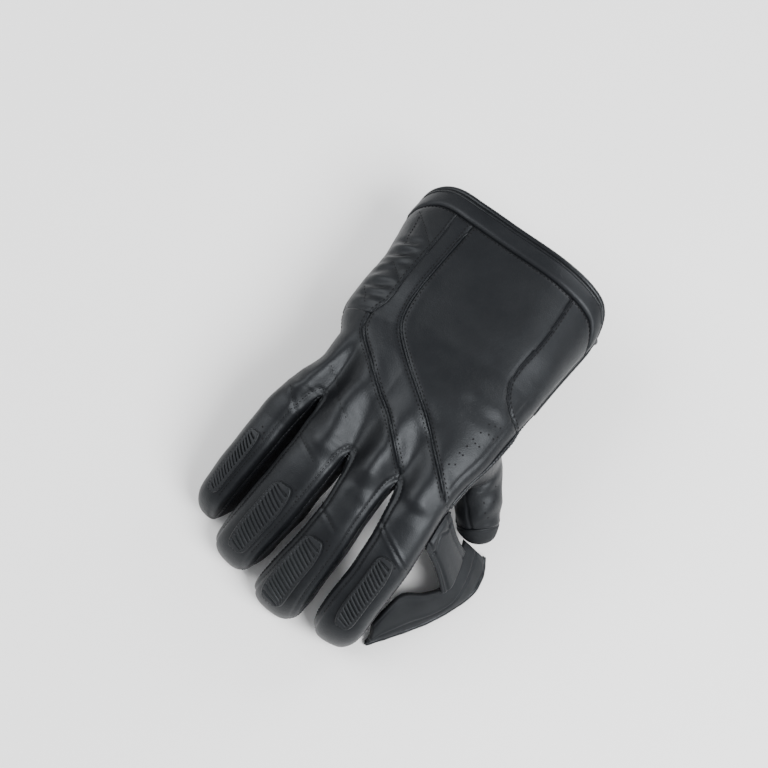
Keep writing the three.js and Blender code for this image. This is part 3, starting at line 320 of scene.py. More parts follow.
def on_back(x, s, off=0.0):
    """face_point for points on any finger."""
    x, s = np.asarray(x, float), np.asarray(s, float)
    off = np.broadcast_to(off, x.shape)
    owner = sum((x > line_at(n, s)).astype(int) for n in (1, 2, 3))
    return by_finger(owner, lambda i, m: face_point(i, x[m], s[m], False, off[m]))


def resample(path, step):
    d = np.concatenate([[0], np.cumsum(np.linalg.norm(np.diff(path, axis=0), axis=1))])
    n = max(2, int(round(d[-1] / step)) + 1)
    t = np.linspace(0, d[-1], n)
    return np.stack([np.interp(t, d, path[:, c]) for c in range(path.shape[1])], 1)


def at_share(path, u):
    q = np.linspace(0, 1, len(path))
    return np.stack([np.interp(u, q, path[:, c]) for c in range(path.shape[1])], -1)


def between(a, b, ta, tb, t):
    return (tb - t) / (tb - ta) * a + (t - ta) / (tb - ta) * b


def fine(points, step=1.0):
    """A smooth centripetal curve through the points, at an even step."""
    p = np.asarray(points, float)
    if len(p) == 2:
        n = max(2, int(np.linalg.norm(p[1] - p[0]) / step) + 1)
        return p[0] + (p[1] - p[0]) * np.linspace(0, 1, n)[:, None]
    q = np.vstack([2 * p[0] - p[1], p, 2 * p[-1] - p[-2]])
    out = []
    for j in range(len(p) - 1):
        a, b, c, d = q[j:j + 4]
        t1 = np.linalg.norm(b - a) ** 0.5 + 1e-9
        t2 = t1 + np.linalg.norm(c - b) ** 0.5 + 1e-9
        t3 = t2 + np.linalg.norm(d - c) ** 0.5 + 1e-9
        t = np.linspace(t1, t2, 24, endpoint=j == len(p) - 2)[:, None]
        a1, a2, a3 = between(a, b, 0, t1, t), between(b, c, t1, t2, t), between(c, d, t2, t3, t)
        out.append(between(between(a1, a2, 0, t2, t), between(a2, a3, t1, t3, t), t1, t2, t))
    return resample(np.vstack(out), step)


def flat_line(table, step=1.0):
    return fine([(a * HALF, q * LENGTH) for a, q in table], step)


def sideways(path):
    """The way to one side of a flat path."""
    t = unit(np.gradient(path, axis=0))
    return np.stack([-t[:, 1], t[:, 0]], 1)


def from_ends(n):
    return np.minimum(np.arange(n), np.arange(n)[::-1])


def distance(line, x, s):
    """Distance to a line in the flat pattern, the nearest point on it, and the share along it."""
    a, b = line[:-1], line[1:]
    best = np.full(x.shape, 1e9)
    near = np.zeros(x.shape + (2,))
    along = np.zeros(x.shape)
    for j in range(len(a)):
        v = b[j] - a[j]
        t = np.clip(((x - a[j][0]) * v[0] + (s - a[j][1]) * v[1]) / (v @ v), 0, 1)
        px, ps = a[j][0] + v[0] * t, a[j][1] + v[1] * t
        d = np.hypot(x - px, s - ps)
        m = d < best
        best = np.where(m, d, best)
        near[m] = np.stack([px, ps], -1)[m]
        along = np.where(m, (j + t) / len(a), along)
    return best, near, along


def inside(outline, x, s):
    hit = np.zeros(x.shape, bool)
    n = len(outline)
    for j in range(n):
        (ax, ay), (bx, by) = outline[j], outline[(j + 1) % n]
        if ay == by:
            continue
        m = ((ay > s) != (by > s)) & (x < (bx - ax) * (s - ay) / (by - ay) + ax)
        hit ^= m
    return hit


# Relief of the back, in millimetres over the plain face, as a function of the flat pattern
SEAMS = {"main": MAIN_SEAM, "strip": STRIP_SEAM, "back": BACK_SEAM, "side": SIDE_SEAM,
         "knuckle": KNUCKLE_LINE}
LINES_FLAT = {name: flat_line(table, 3.0) for name, table in SEAMS.items()}
FOLD_LINES = [(flat_line(p, 4.0), d, w) for p, d, w in FOLDS]
KNUCKLE_LINES = [flat_line(p, 3.0) for p in KNUCKLES]
ZIGZAG_LINES = [flat_line(p, 3.0) for p in ZIGZAG]


def ridge(d, height, width):
    return height * np.exp(-(d / width) ** 2)


def dip(d, depth, width):
    return -ridge(d, depth, width)


def fade_ends(u, share):
    """1 along a line, and down to 0 over a share of it at both ends."""
    return smooth(0, share, u) * smooth(0, share, 1 - u)


def waves(x, s, seed, amount, lengths):
    """A soft seeded undulation."""
    rng = np.random.default_rng(seed)
    out = np.zeros_like(x)
    for length in lengths:
        for _ in range(3):
            a, p = rng.uniform(0, math.pi), rng.uniform(0, 2 * math.pi)
            out += np.sin((x * math.cos(a) + s * math.sin(a)) * 2 * math.pi / length + p)
    return out * amount / (3 * len(lengths)) ** 0.5


def cuff_line(x, s):
    return curve(CUFF_END, side_share(x, line_at(0, s), line_at(4, s))) * LENGTH


def cuff_start(x):
    s = cuff_line(x, np.zeros_like(x))
    for _ in range(4):
        s = cuff_line(x, s)
    return s


def slit_distance(x, s):
    """Distance to the nearest slit between two fingers."""
    best = np.full(x.shape, 1e9)
    for n in range(3):
        low = np.maximum(s, CROTCH[n])
        d = np.hypot(np.maximum(np.abs(x - line_at(n + 1, low)) - slit_width(n, low), 0), low - s)
        best = np.minimum(best, d)
    return best


def back_relief(x, s):
    h = waves(x, s, 5, 0.26, (26, 41, 66))
    from_end = s - cuff_start(x)
    h *= 0.3 + 0.7 * smooth(0, 18, np.minimum(from_end, 60))
    clear = smooth(BORDER - 1.0, BORDER + 2.5, from_end)
    for name, depth, width in SEAM_DIPS:
        d = distance(LINES_FLAT[name], x, s)[0]
        h += dip(d, depth, width) * clear
        if name in ("main", "back"):
            h += ridge(d - 4.0, 0.30, 2.6) * clear
    for j, line in enumerate(KNUCKLE_LINES):
        d, _, u = distance(line, x, s)
        ends = fade_ends(u, 0.12)
        if j == 3:
            h += ends * ridge(d - 1.5, 0.7, 1.0) + dip(d, 0.5, 0.8)
        else:
            h += ends * (dip(d, 0.5, 0.8) + ridge(d - 2.4, 0.2, 1.4))
    for line in ZIGZAG_LINES:
        d, _, u = distance(line, x, s)
        h += dip(d, 0.45, 1.0) * fade_ends(u, 0.08)
    for line, depth, width in FOLD_LINES:
        d, _, u = distance(line, x, s)
        h += fade_ends(u, 0.3) * (dip(d, depth, width) + ridge(d - 1.9 * width, 0.45 * depth, width))
    # Small gathers of the wedge between its stitches
    wedge = smooth(0.60 * HALF, 0.68 * HALF, x) * smooth(45, 60, s) * smooth(112, 100, s)
    wedge *= smooth(0, 12, np.abs(x - 0.96 * HALF))
    h += 0.55 * wedge * np.sin(s * 2 * math.pi / 9.0 + 0.5 * np.sin(x / 6.0))
    # Turned edges beside the slits, and the stitched line round them
    d = slit_distance(x, s)
    h += ridge(d - 1.9, 0.35, 1.2) + dip(d - SLIT_SEAM, 0.6, 0.8)
    # A seam beside the edge from the side panel to the index finger
    edge, q = x - finger_sides(0, s)[0], s / LENGTH
    h += dip(edge - EDGE_SEAM, 0.6, 0.8) * smooth(0.31, 0.34, q) * smooth(0.60, 0.56, q)
    # Padded border at the cuff's end
    v = from_end / BORDER
    h += 1.1 * np.sqrt(np.clip(1 - (2 * v - 1) ** 2, 0, 1)) * (v < 1) + dip(from_end - BORDER, 1.1, 1.3)
    return h


def palm_relief(x, s):
    h = waves(x, s, 11, 0.5, (24, 41, 66))
    for q, depth in PALM_FOLDS:
        line = flat_line([(-0.72, q - 0.012), (-0.2, q + 0.014), (0.35, q + 0.004), (0.9, q - 0.05)], 6.0)
        d = distance(line, x, s)[0]
        h += dip(d, depth, 2.6) + ridge(d - 5, 0.5 * depth, 2.6)
    return h + dip(slit_distance(x, s) - 4.2, 0.6, 1.0) + dip(s - WRIST, 0.9, 1.6)


def cuff_front_relief(x, s):
    return waves(x, s, 17, 0.35, (26, 47)) + dip(s - WRIST, 0.9, 2.0)


def on_relief(x, s):
    """Points on the back's relief, and the way out of it."""
    h = back_relief(x, s)
    p = on_back(x, s, h)
    return p, unit(on_back(x, s, h + 1.0) - p)


# Mesh helpers
def make_piece(name, points, faces, materials, slot_name, material_index=None, node=None):
    """A mesh from points in millimetres, which rides root and stands for a node of the frame."""
    mesh = bpy.data.meshes.new(name)
    mesh.from_pydata((np.asarray(points, float) * 0.001).tolist(), [], [list(map(int, f)) for f in faces])
    for m in materials:
        mesh.materials.append(m)
    if material_index is not None:
        mesh.polygons.foreach_set("material_index", np.asarray(material_index, np.int32))
    mesh.polygons.foreach_set("use_smooth", np.ones(len(mesh.polygons), bool))
    mesh.validate()
    mesh.update()
    o = bpy.data.objects.new(name, mesh)
    bpy.context.scene.collection.objects.link(o)
    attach(o, "root")
    if node:
        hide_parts(node)
    return o


def grid_faces(rows, cols, flip=False):
    """Quads of a grid of points."""
    j = np.arange(rows - 1)[:, None] * cols + np.arange(cols - 1)[None, :]
    corners = [j, j + cols, j + cols + 1, j + 1] if flip else [j, j + 1, j + cols + 1, j + cols]
    return np.stack(corners, -1).reshape(-1, 4)


def tube_faces(rings, sides, base=0):
    """Quads round a row of rings."""
    faces = []
    for j in range(rings - 1):
        for k in range(sides):
            p, q = base + j * sides + k, base + j * sides + (k + 1) % sides
            faces.append([p, p + sides, q + sides, q])
    return faces


def edges_of(faces):
    """Directed boundary edges of a face set."""
    f = np.asarray(faces)
    n = f.max() + 1
    a = f.ravel()
    b = np.roll(f, -1, axis=1).ravel()
    key, back = a * n + b, b * n + a
    open_edges = ~np.isin(key, back)
    return np.stack([a[open_edges], b[open_edges]], 1)


def thick(outer, inner, faces, inner_slot=1):
    """A closed skin from two layers of the same points, and the material slot of each face."""
    outer, inner, faces = outer.reshape(-1, 3), inner.reshape(-1, 3), np.asarray(faces)
    total = len(outer)
    rim = edges_of(faces)
    all_faces = [list(f) for f in faces] + [list(f[::-1] + total) for f in faces]
    all_faces += [[b, a, a + total, b + total] for a, b in rim]
    slots = [0] * len(faces) + [inner_slot] * len(faces) + [0] * len(rim)
    return np.vstack([outer, inner]), all_faces, slots


def make_skin(node, suffix, outer, inner, faces, materials, slot_name):
    """A closed skin that stands for a node. A second material goes inside."""
    points, all_faces, slots = thick(outer, inner, faces, len(materials) - 1)
    return make_piece(node + suffix, points, all_faces, materials, slot_name, slots, node)


def sweep(line, radius, sides=10):
    """A round cord along a path, closed at both ends."""
    line = np.asarray(line, float)
    n = len(line)
    t = unit(np.gradient(line, axis=0))
    u = np.cross(t, (0.0, 0.0, 1.0))
    bad = np.linalg.norm(u, axis=1) < 0.25
    u[bad] = np.cross(t[bad], (1.0, 0.0, 0.0))
    for j in range(1, n):
        if u[j] @ u[j - 1] < 0:
            u[j] = -u[j]
    u = unit(u)
    v = np.cross(u, t)
    r = np.broadcast_to(radius, n).astype(float)
    a = np.linspace(0, 2 * math.pi, sides, endpoint=False)[None, :, None]
    ring = line[:, None] + r[:, None, None] * (u[:, None] * np.cos(a) + v[:, None] * np.sin(a))
    points = np.vstack([ring.reshape(-1, 3), line[0] - t[0] * r[0] * 0.6, line[-1] + t[-1] * r[-1] * 0.6])
    faces = tube_faces(n, sides)
    last = (n - 1) * sides
    for k in range(sides):
        faces.append([last + sides, k, (k + 1) % sides])
        faces.append([last + sides + 1, last + (k + 1) % sides, last + k])
    return points, faces


def join(parts):
    points, faces, base = [], [], 0
    for p, f in parts:
        points.append(p)
        faces += [[v + base for v in face] for face in f]
        base += len(p)
    return np.vstack(points), faces


STITCH_SIDES = 6
# Rings of a stitch: place along, width and lift
STITCH_RINGS = [(-1.0, 0.35, -0.26), (-0.55, 1.0, 0.02), (0.55, 1.0, 0.02), (1.0, 0.35, -0.26)]
STITCH_CAPS = [[5, 4, 3, 2, 1, 0], [18, 19, 20, 21, 22, 23]]


def stitches(line, up, pitch=3.0, length=1.9, radius=0.34, step=0.5):
    """Small thread stitches along a path, each sunk at both ends."""
    path = resample(np.asarray(line, float), step)
    tangents = unit(np.gradient(path, axis=0))
    ups = at_share(up, np.linspace(0, 1, len(path)))
    angles = 2 * math.pi * np.arange(STITCH_SIDES) / STITCH_SIDES
    faces = [[a, d, c, b] for a, b, c, d in tube_faces(len(STITCH_RINGS), STITCH_SIDES)]
    faces += STITCH_CAPS
    parts = []
    for j in range(2, len(path) - 2, max(1, int(round(pitch / step)))):
        t, w = tangents[j], unit(ups[j])
        side = unit(np.cross(t, w))
        pts = [path[j] + t * a * length / 2 + w * (lift + radius * r * math.sin(b))
               + side * radius * r * math.cos(b) for a, r, lift in STITCH_RINGS for b in angles]
        parts.append((np.array(pts), faces))
    return parts


def line_stitches(line, side=0.0, **sizes_of_stitch):
    """Stitches along a line of the flat pattern, shifted sideways."""
    path = resample(np.asarray(line, float), 1.0)
    path = path + sideways(path) * side
    path = path[path[:, 1] > cuff_start(path[:, 0]) + BORDER + 1.5]
    return stitches(*on_relief(path[:, 0], path[:, 1]), **sizes_of_stitch)


# Materials
COOL = (0.90, 0.95, 1.0, 1)


def nodes_of(name):
    m = bpy.data.materials.new(name)
    m.use_nodes = True
    tree = m.node_tree
    return m, tree, tree.nodes["Principled BSDF"], tree.nodes.new("ShaderNodeTexCoord").outputs["Object"]


def texture(tree, kind, coord, **values):
    n = tree.nodes.new("ShaderNodeTex" + kind)
    for key, value in values.items():
        n.inputs[key].default_value = value
    tree.links.new(coord, n.inputs["Vector"])
    return n


def noise(tree, coord, scale, detail, rough=0.6):
    return texture(tree, "Noise", coord, Scale=scale, Detail=detail, Roughness=rough).outputs["Fac"]


def ramp(tree, value, socket, dark, light, low=0.3, high=0.7):
    r = tree.nodes.new("ShaderNodeValToRGB")
    for stop, place, colour in zip(r.color_ramp.elements, (low, high), (dark, light)):
        stop.position = place
        stop.color = (*colour, 1)
    tree.links.new(value, r.inputs["Fac"])
    tree.links.new(r.outputs["Color"], socket)


def to_range(tree, value, socket, lo, hi):
    r = tree.nodes.new("ShaderNodeMapRange")
    r.inputs["To Min"].default_value = lo
    r.inputs["To Max"].default_value = hi
    tree.links.new(value, r.inputs["Value"])
    tree.links.new(r.outputs["Result"], socket)


def bump(tree, height, strength, distance_mm, normal=None):
    b = tree.nodes.new("ShaderNodeBump")
    b.inputs["Strength"].default_value = strength
    b.inputs["Distance"].default_value = distance_mm * 0.001
    tree.links.new(height, b.inputs["Height"])
    if normal is not None:
        tree.links.new(normal, b.inputs["Normal"])
    return b.outputs["Normal"]


def leather_look(name, dark, light, rough, grain=0.30):
    m, tree, shader, co = nodes_of(name)
    ramp(tree, noise(tree, co, 38.0, 4.0), shader.inputs["Base Color"], dark, light, 0.32, 0.68)
    to_range(tree, noise(tree, co, 130.0, 3.0), shader.inputs["Roughness"], *rough)
    cells = texture(tree, "Voronoi", co, Scale=820.0)
    cells.feature = "DISTANCE_TO_EDGE"
    n1 = bump(tree, cells.outputs["Distance"], grain, 0.35)
    n2 = bump(tree, noise(tree, co, 260.0, 5.0), 0.13, 0.9, n1)
    n3 = bump(tree, noise(tree, co, 62.0, 3.0, 0.5), 0.09, 1.8, n2)
    tree.links.new(n3, shader.inputs["Normal"])
    shader.inputs["Specular IOR Level"].default_value = 0.25
    shader.inputs["Specular Tint"].default_value = COOL
    return m


def cloth_look(name, dark, light, weave=1500.0):
    m, tree, shader, co = nodes_of(name)
    ramp(tree, noise(tree, co, 300.0, 4.0), shader.inputs["Base Color"], dark, light)
    tree.links.new(bump(tree, noise(tree, co, weave, 2.0), 0.7, 0.5), shader.inputs["Normal"])
    shader.inputs["Roughness"].default_value = 0.92
    shader.inputs["Specular IOR Level"].default_value = 0.2
    shader.inputs["Sheen Weight"].default_value = 0.03
    return m


def rubber_look(name, dark, light, cell=520.0, height=0.7):
    m, tree, shader, co = nodes_of(name)
    ramp(tree, noise(tree, co, 70.0, 4.0), shader.inputs["Base Color"], dark, light)
    to_range(tree, noise(tree, co, 90.0, 3.0), shader.inputs["Roughness"], 0.62, 0.8)
    dots = texture(tree, "Voronoi", co, Scale=cell, Randomness=0.12)
    n1 = bump(tree, dots.outputs["Distance"], -height, 0.5)
    n2 = bump(tree, noise(tree, co, 48.0, 3.0, 0.5), 0.2, 1.6, n1)
    tree.links.new(n2, shader.inputs["Normal"])
    shader.inputs["Specular IOR Level"].default_value = 0.3
    shader.inputs["Specular Tint"].default_value = COOL
    return m


LEATHER_BACK, LEATHER_STRIP, LEATHER_EDGE, GUARD_RUBBER = (leather_look(*row) for row in (
    ("leather_back", (0.0030, 0.0034, 0.0043), (0.0052, 0.0057, 0.0068), (0.38, 0.52)),
    ("leather_strip", (0.0034, 0.0039, 0.0050), (0.0058, 0.0063, 0.0075), (0.37, 0.50)),
    ("leather_edge", (0.0024, 0.0028, 0.0036), (0.0044, 0.0049, 0.0060), (0.30, 0.44)),
    ("guard_rubber", (0.0060, 0.0066, 0.0076), (0.0105, 0.0112, 0.0124), (0.42, 0.54), 0.12)))
SUEDE = cloth_look("suede_inside", (0.014, 0.014, 0.016), (0.026, 0.026, 0.029), 900.0)
GUSSET_CLOTH = cloth_look("gusset_cloth", (0.0022, 0.0026, 0.0050), (0.0060, 0.0068, 0.0110))
PALM_RUBBER = rubber_look("palm_rubber", (0.0040, 0.0048, 0.0085), (0.0085, 0.0098, 0.0150))
BAND_RUBBER = rubber_look("band_rubber", (0.0026, 0.0030, 0.0038), (0.0050, 0.0055, 0.0066), 700.0, 0.25)
THREAD = cloth_look("thread", (0.0016, 0.0018, 0.0022), (0.0036, 0.0040, 0.0048), 2400.0)
# Near-black matte colour of the vent holes: painted shade for the inside of the open holes, which the dimples
# do not cut through
HOLE_SHADE = cloth_look("hole_painted_shade", (0.002, 0.002, 0.003), (0.005, 0.005, 0.006))


# The back of the glove, cut into its panels along the seams
def far_line(line, after=30.0):
    a = line[0] + unit(line[0] - line[1]) * 30.0
    b = line[-1] + unit(line[-1] - line[-2]) * after
    return np.vstack([a, line, b])


FAR = 2 * LENGTH


def thumb_side_of(line):
    """The area between a seam and the thumb side."""
    return [*line, (-FAR, line[-1][1]), (-FAR, -FAR), (line[0][0], -FAR)]


MAIN_SIDE, SIDE_SIDE = (thumb_side_of(far_line(LINES_FLAT[n])) for n in ("main", "side"))
NOTCH = LINES_FLAT["strip"][-1]
WEDGE_TOP = NOTCH + (0.5 * HALF, 0)
WEDGE_SIDE = [*far_line(LINES_FLAT["strip"], 0.01), WEDGE_TOP, (FAR, NOTCH[1]), (FAR, -FAR),
              (LINES_FLAT["strip"][0][0], -FAR)]
SLIT_MIDDLE = [((finger_sides(0, s)[1] + finger_sides(1, s)[0]) / 2, s)
               for s in np.linspace(CROTCH[0], FAR / 2, 12)]
HAND_SIDE = [(FAR, NOTCH[1]), WEDGE_TOP, *LINES_FLAT["back"], *SLIT_MIDDLE,
             (SLIT_MIDDLE[-1][0], FAR), (FAR, FAR)]


NEAR = 1e-6
WELD_STEPS = 50
COLUMNS_AT = 150.0


def sheet_grid(palm, rows_of, step=1.0):
    """Points (finger, across, along) and quads of one face, welded where fingers meet."""
    xs, ss, owners, side_marks, faces, base = [], [], [], [], [], 0
    for i in range(4):
        lo, hi = finger_sides(i, COLUMNS_AT)
        f = np.linspace(0, 1, int(round((hi - lo) / step)) + 1)
        f = (1 - np.cos(f * math.pi)) / 2 * 0.25 + f * 0.75
        s = rows_of(i, f)
        x = across(i, s, f[None, :], palm)
        n, k = s.shape
        edge = s >= TIPS[i] - NEAR
        edge[:, 0] |= (i == 0) | (s[:, 0] > (CROTCH[i - 1] if i else 0) + NEAR)
        edge[:, -1] |= (i == 3) | (s[:, -1] > (CROTCH[i] if i < 3 else 0) + NEAR)
        xs.append(x.ravel())
        ss.append(s.ravel())
        owners.append(np.full(n * k, i))
        side_marks.append(edge.ravel())
        faces.append(grid_faces(n, k) + base)
        base += n * k
    x, s, owner, side = (np.concatenate(v) for v in (xs, ss, owners, side_marks))
    key = np.round(x * WELD_STEPS).astype(np.int64) * 100000 + np.round(s * WELD_STEPS).astype(np.int64)
    _, first, back = np.unique(key, return_index=True, return_inverse=True)
    faces = back.ravel()[np.vstack(faces)]
    good = np.array([len(set(f)) == 4 for f in faces.tolist()])
    return x[first], s[first], owner[first], side[first], faces[good]


def snap(x, s, lines, reach):
    for line in lines:
        d, near, _ = distance(line, x, s)
        m = d < reach
        x[m], s[m] = near[m, 0], near[m, 1]


def layer(x, s, owner, palm, off):
    return by_finger(owner, lambda i, m: face_point(i, x[m], s[m], palm, off[m]))


def inner_layer(x, s, owner, side, palm, thickness):
    """The inside of a face: straight in, but level at the free edges."""
    def point(i, m):
        xi, si = x[m], s[m]
        n = flat_normal(i, xi, si, palm)
        lo, hi = finger_sides(i, si, palm)
        inward = np.stack([np.where(xi > (lo + hi) / 2, 1.0, -1.0), np.zeros_like(xi), np.zeros_like(xi)], -1)
        inward[si >= TIPS[i] - NEAR] = (0.0, 1.0, 0.0)
        n = np.where(side[m][:, None], inward, n)
        z = face_height(i, xi, si, palm) - n[:, 2] * thickness
        return bend(xi - n[:, 0] * thickness, si - n[:, 1] * thickness, -z if palm else z)

    return by_finger(owner, point)


def rows_through(f, start, *stops):
    """Rows of places along the hand, from start through all stops, each a place and its row count."""
    rows = []
    for end, count in stops:
        start = start + 0 * f
        rows += [start + (end - start) * v for v in np.linspace(0, 1, count)[1 if rows else 0:]]
        start = end
    return np.array(rows)


def back_rows(i, f):
    start = cuff_start(across(i, 20.0, f))
    border = start + BORDER
    for _ in range(3):
        border = cuff_start(across(i, border, f)) + BORDER
    return rows_through(f, start, (border, 18), (WRIST, 100), (CROTCH[2], 50), (CROTCH[1], 21),
                        (TIPS[i], 110))


HAND, STRIP, MAIN, WEDGE, SIDE, END = range(6)
BACK_PIECES = {HAND: ("back_hand_panel", LEATHER_BACK), STRIP: ("index_strip_panel", LEATHER_STRIP),
               MAIN: ("cuff_main_panel", LEATHER_BACK), WEDGE: ("cuff_wedge_panel", LEATHER_BACK),
               SIDE: ("cuff_side_panel", LEATHER_STRIP), END: ("cuff_end_border", LEATHER_STRIP)}
bx, bs, bo, bside, bf = sheet_grid(False, back_rows)
snap(bx, bs, [resample(LINES_FLAT[n], 1.0) for n in ("main", "strip", "back", "side")], 0.55)
outer = layer(bx, bs, bo, False, back_relief(bx, bs) * np.where(bside, 0.0, 1.0))
inner = inner_layer(bx, bs, bo, bside, False, LEATHER)
cx, cs = bx[bf].mean(1), bs[bf].mean(1)
in_main, in_side = inside(MAIN_SIDE, cx, cs), inside(SIDE_SIDE, cx, cs)
in_wedge, in_hand = inside(WEDGE_SIDE, cx, cs), inside(HAND_SIDE, cx, cs)
panel = np.full(len(bf), STRIP)
panel[in_hand & ~in_wedge] = HAND
panel[in_wedge & ~in_main] = WEDGE
panel[in_main] = MAIN
panel[in_side] = SIDE
panel[cs < cuff_start(cx) + BORDER] = END


def cut_piece(name, faces, outer, inner, skin, slot_name="leather"):
    used = np.unique(faces)
    index = np.full(len(outer), -1)
    index[used] = np.arange(len(used))
    return make_skin(name, "_skin", outer[used], inner[used], index[faces], (skin, SUEDE), slot_name)


for n, (name, skin) in BACK_PIECES.items():
    piece = cut_piece(name, bf[panel == n], outer, inner, skin)


# Palm and the cuff's front
PALM_GAP = 0.2


def palm_rows(i, f):
    return rows_through(f, WRIST + PALM_GAP, (CROTCH[2], 46), (CROTCH[1], 18), (TIPS[i], 92))


def palm_cuff_edge(x):
    """Where the cuff's front starts: level, with both corners rounded."""
    start = PALM_CUFF_END * LENGTH
    side = np.minimum(x - finger_sides(0, start, True)[0], finger_sides(3, start, True)[1] - x)
    corner = 0.98 * np.clip(1 - side / CUFF_CORNER, 0, 1)
    return start + CUFF_CORNER * (1 - np.sqrt(1 - corner ** 2))


def cuff_palm_rows(i, f):
    start = palm_cuff_edge(across(i, PALM_CUFF_END * LENGTH, f, True))
    return rows_through(f, start, (WRIST - PALM_GAP, 80))


def floor_at(points, low):
    points = points.copy()
    points[..., 2] = np.maximum(points[..., 2], low)
    return points


for name, rows, relief, skin, slot_name in (
        ("palm_rubber_panel", palm_rows, palm_relief, PALM_RUBBER, "palm_rubber"),
        ("cuff_palm_panel", cuff_palm_rows, cuff_front_relief, LEATHER_STRIP, "leather")):
    x, s, o, side, faces = sheet_grid(True, rows, 1.2)
    h = relief(x, s) * np.where(side, 0.0, 1.0) * smooth(0, 6, np.minimum(s - s.min(), 30))
    low = floor_at(layer(x, s, o, True, np.minimum(h, 0.9)), 0.0)
    high = floor_at(inner_layer(x, s, o, side, True, RUBBER), np.where(side, 0.3, RUBBER * 0.9))
    cut_piece(name, faces[:, ::-1], low, high, skin, slot_name)


# Gussets: strips of dark cloth inside the slits and along both sides
WALL_ROWS = 9


def wall_strip(name, line, half_at):
    line = np.asarray(line, float)
    back = line - sideways(line) * LEATHER
    h = np.array([half_at(x, s) for x, s in line])
    outer, inner = [], []
    for j in range(WALL_ROWS):
        v = 2 * j / (WALL_ROWS - 1) - 1
        puff = 0.25 * np.sin(np.arange(len(line)) * 1.3 + 2.1 * j)
        front = line + (line - back) * 0.12 * puff[:, None]
        outer.append(bend(front[:, 0], front[:, 1], h * v))
        inner.append(bend(back[:, 0], back[:, 1], h * v))
    faces = grid_faces(WALL_ROWS, len(line))
    make_skin(name, "_strip", np.vstack(outer), np.vstack(inner), faces, (GUSSET_CLOTH,), "gusset_cloth")


def gusset_top(half, i, s):
    return (half - GAP) * (1 - tip_share(i, s) ** 2)


def gusset_end(i):
    return TIPS[i] - 0.07 * TIP


for n, name in enumerate(("index_middle", "middle_ring", "ring_little")):
    low = CROTCH[n]
    left, right = (low + (gusset_end(i) - low) * np.linspace(0.02, 1, 60) ** 1.6 for i in (n, n + 1))
    path = [*zip(finger_sides(n, left)[1][::-1], left[::-1]), (float(line_at(n + 1, low)), low),
            *zip(finger_sides(n + 1, right)[0], right)]
    wall_strip("finger_gusset_" + name, path,
               lambda x, s, n=n: gusset_top(GUSSET, n if x < line_at(n + 1, s) else n + 1, s))

s_all = np.linspace(0.385 * LENGTH, gusset_end(3), 90)
wall_strip("side_gusset_little", np.stack([finger_sides(3, s_all)[1], s_all], 1)[::-1],
           lambda x, s: gusset_top(little_side(s), 3, s))
s_all = np.linspace(0.534 * LENGTH, gusset_end(0), 86)
wall_strip("side_gusset_index", np.stack([finger_sides(0, s_all)[0], s_all], 1),
           lambda x, s: gusset_top(thumb_side(s), 0, s))


# Ribbed guards on the finger backs
GUARD_RIBS = 16
GUARD_SLANT = 0.014
GUARD_BASE = 1.35
GUARD_RIM = 0.9
RIM_WIDTH = 2.6
RIB_HEIGHT = 1.75
GROOVE_DEPTH = 0.85


def guard_outline(share):
    """Width of a guard at a share of its length: straight sides, rounded ends."""
    return 0.30 + 0.70 * np.clip(1 - np.abs(2 * share - 1) ** 5.0, 0, 1) ** 0.45


def guard_spot(guard, r, c):
    """Place in the flat pattern at shares along and across a guard."""
    _, i, start, end, centre, half = guard
    s = (start + (end - start) * r - GUARD_SLANT * c * np.minimum(1, 6 * np.minimum(r, 1 - r))) * LENGTH
    return across(i, s, centre + half * c * guard_outline(r)), s


def build_guard(guard, rows=200, cols=34):
    name, i, start, end, _, half = guard
    r, c = np.meshgrid(np.linspace(0, 1, rows), np.linspace(-1, 1, cols), indexing="ij")
    x, s = guard_spot(guard, r, c)
    lo, hi = finger_sides(i, s)
    length = (end - start) * LENGTH
    side_mm = (1 - np.abs(c)) * half * (hi - lo) * guard_outline(r)
    from_edge = np.minimum(side_mm, np.minimum(r, 1 - r) * length)
    field = smooth(1.7, 2.3, from_edge)
    rib = (r * length - RIM_WIDTH) / (length - 2 * RIM_WIDTH) * GUARD_RIBS
    wave = 0.5 + 0.5 * np.cos(2 * math.pi * rib)
    height = GUARD_BASE + GUARD_RIM * smooth(0.0, 0.6, from_edge) * (1 - field)
    height += field * (RIB_HEIGHT * smooth(0.10, 0.55, wave) - GROOVE_DEPTH)
    outer = face_point(i, x, s, False, np.maximum(GAP * 0.4, back_relief(x, s) * 0.4) + height)
    inner = face_point(i, x, s, False, -0.4)
    make_skin(name, "_ribs", outer, inner, grid_faces(rows, cols), (GUARD_RUBBER,), "guard_rubber")
    # The stitched line round the guard
    a = 2 * math.pi * np.linspace(0, 1, 120)
    square = (np.abs(np.cos(a)) ** 6 + np.abs(np.sin(a)) ** 6) ** (-1 / 6)
    x, s = guard_spot(guard, 0.5 + 0.5 * 0.985 * np.cos(a) * square, 0.9 * np.sin(a) * square)
    p = face_point(i, x, s, False, 2.25)
    return stitches(p, unit(face_point(i, x, s, False, 3.25) - p), pitch=2.5, length=1.5, radius=0.26)


threads = []
for guard in GUARDS:
    threads += build_guard(guard)


# Raised seams with a stitch line on both sides
WELT_ROOT = -0.9
WELT_PROFILE = [(-0.85, WELT_ROOT), (-0.66, 0.0), (-0.36, 0.44), (0.0, 0.58), (0.36, 0.44), (0.66, 0.0),
                (0.85, WELT_ROOT)]


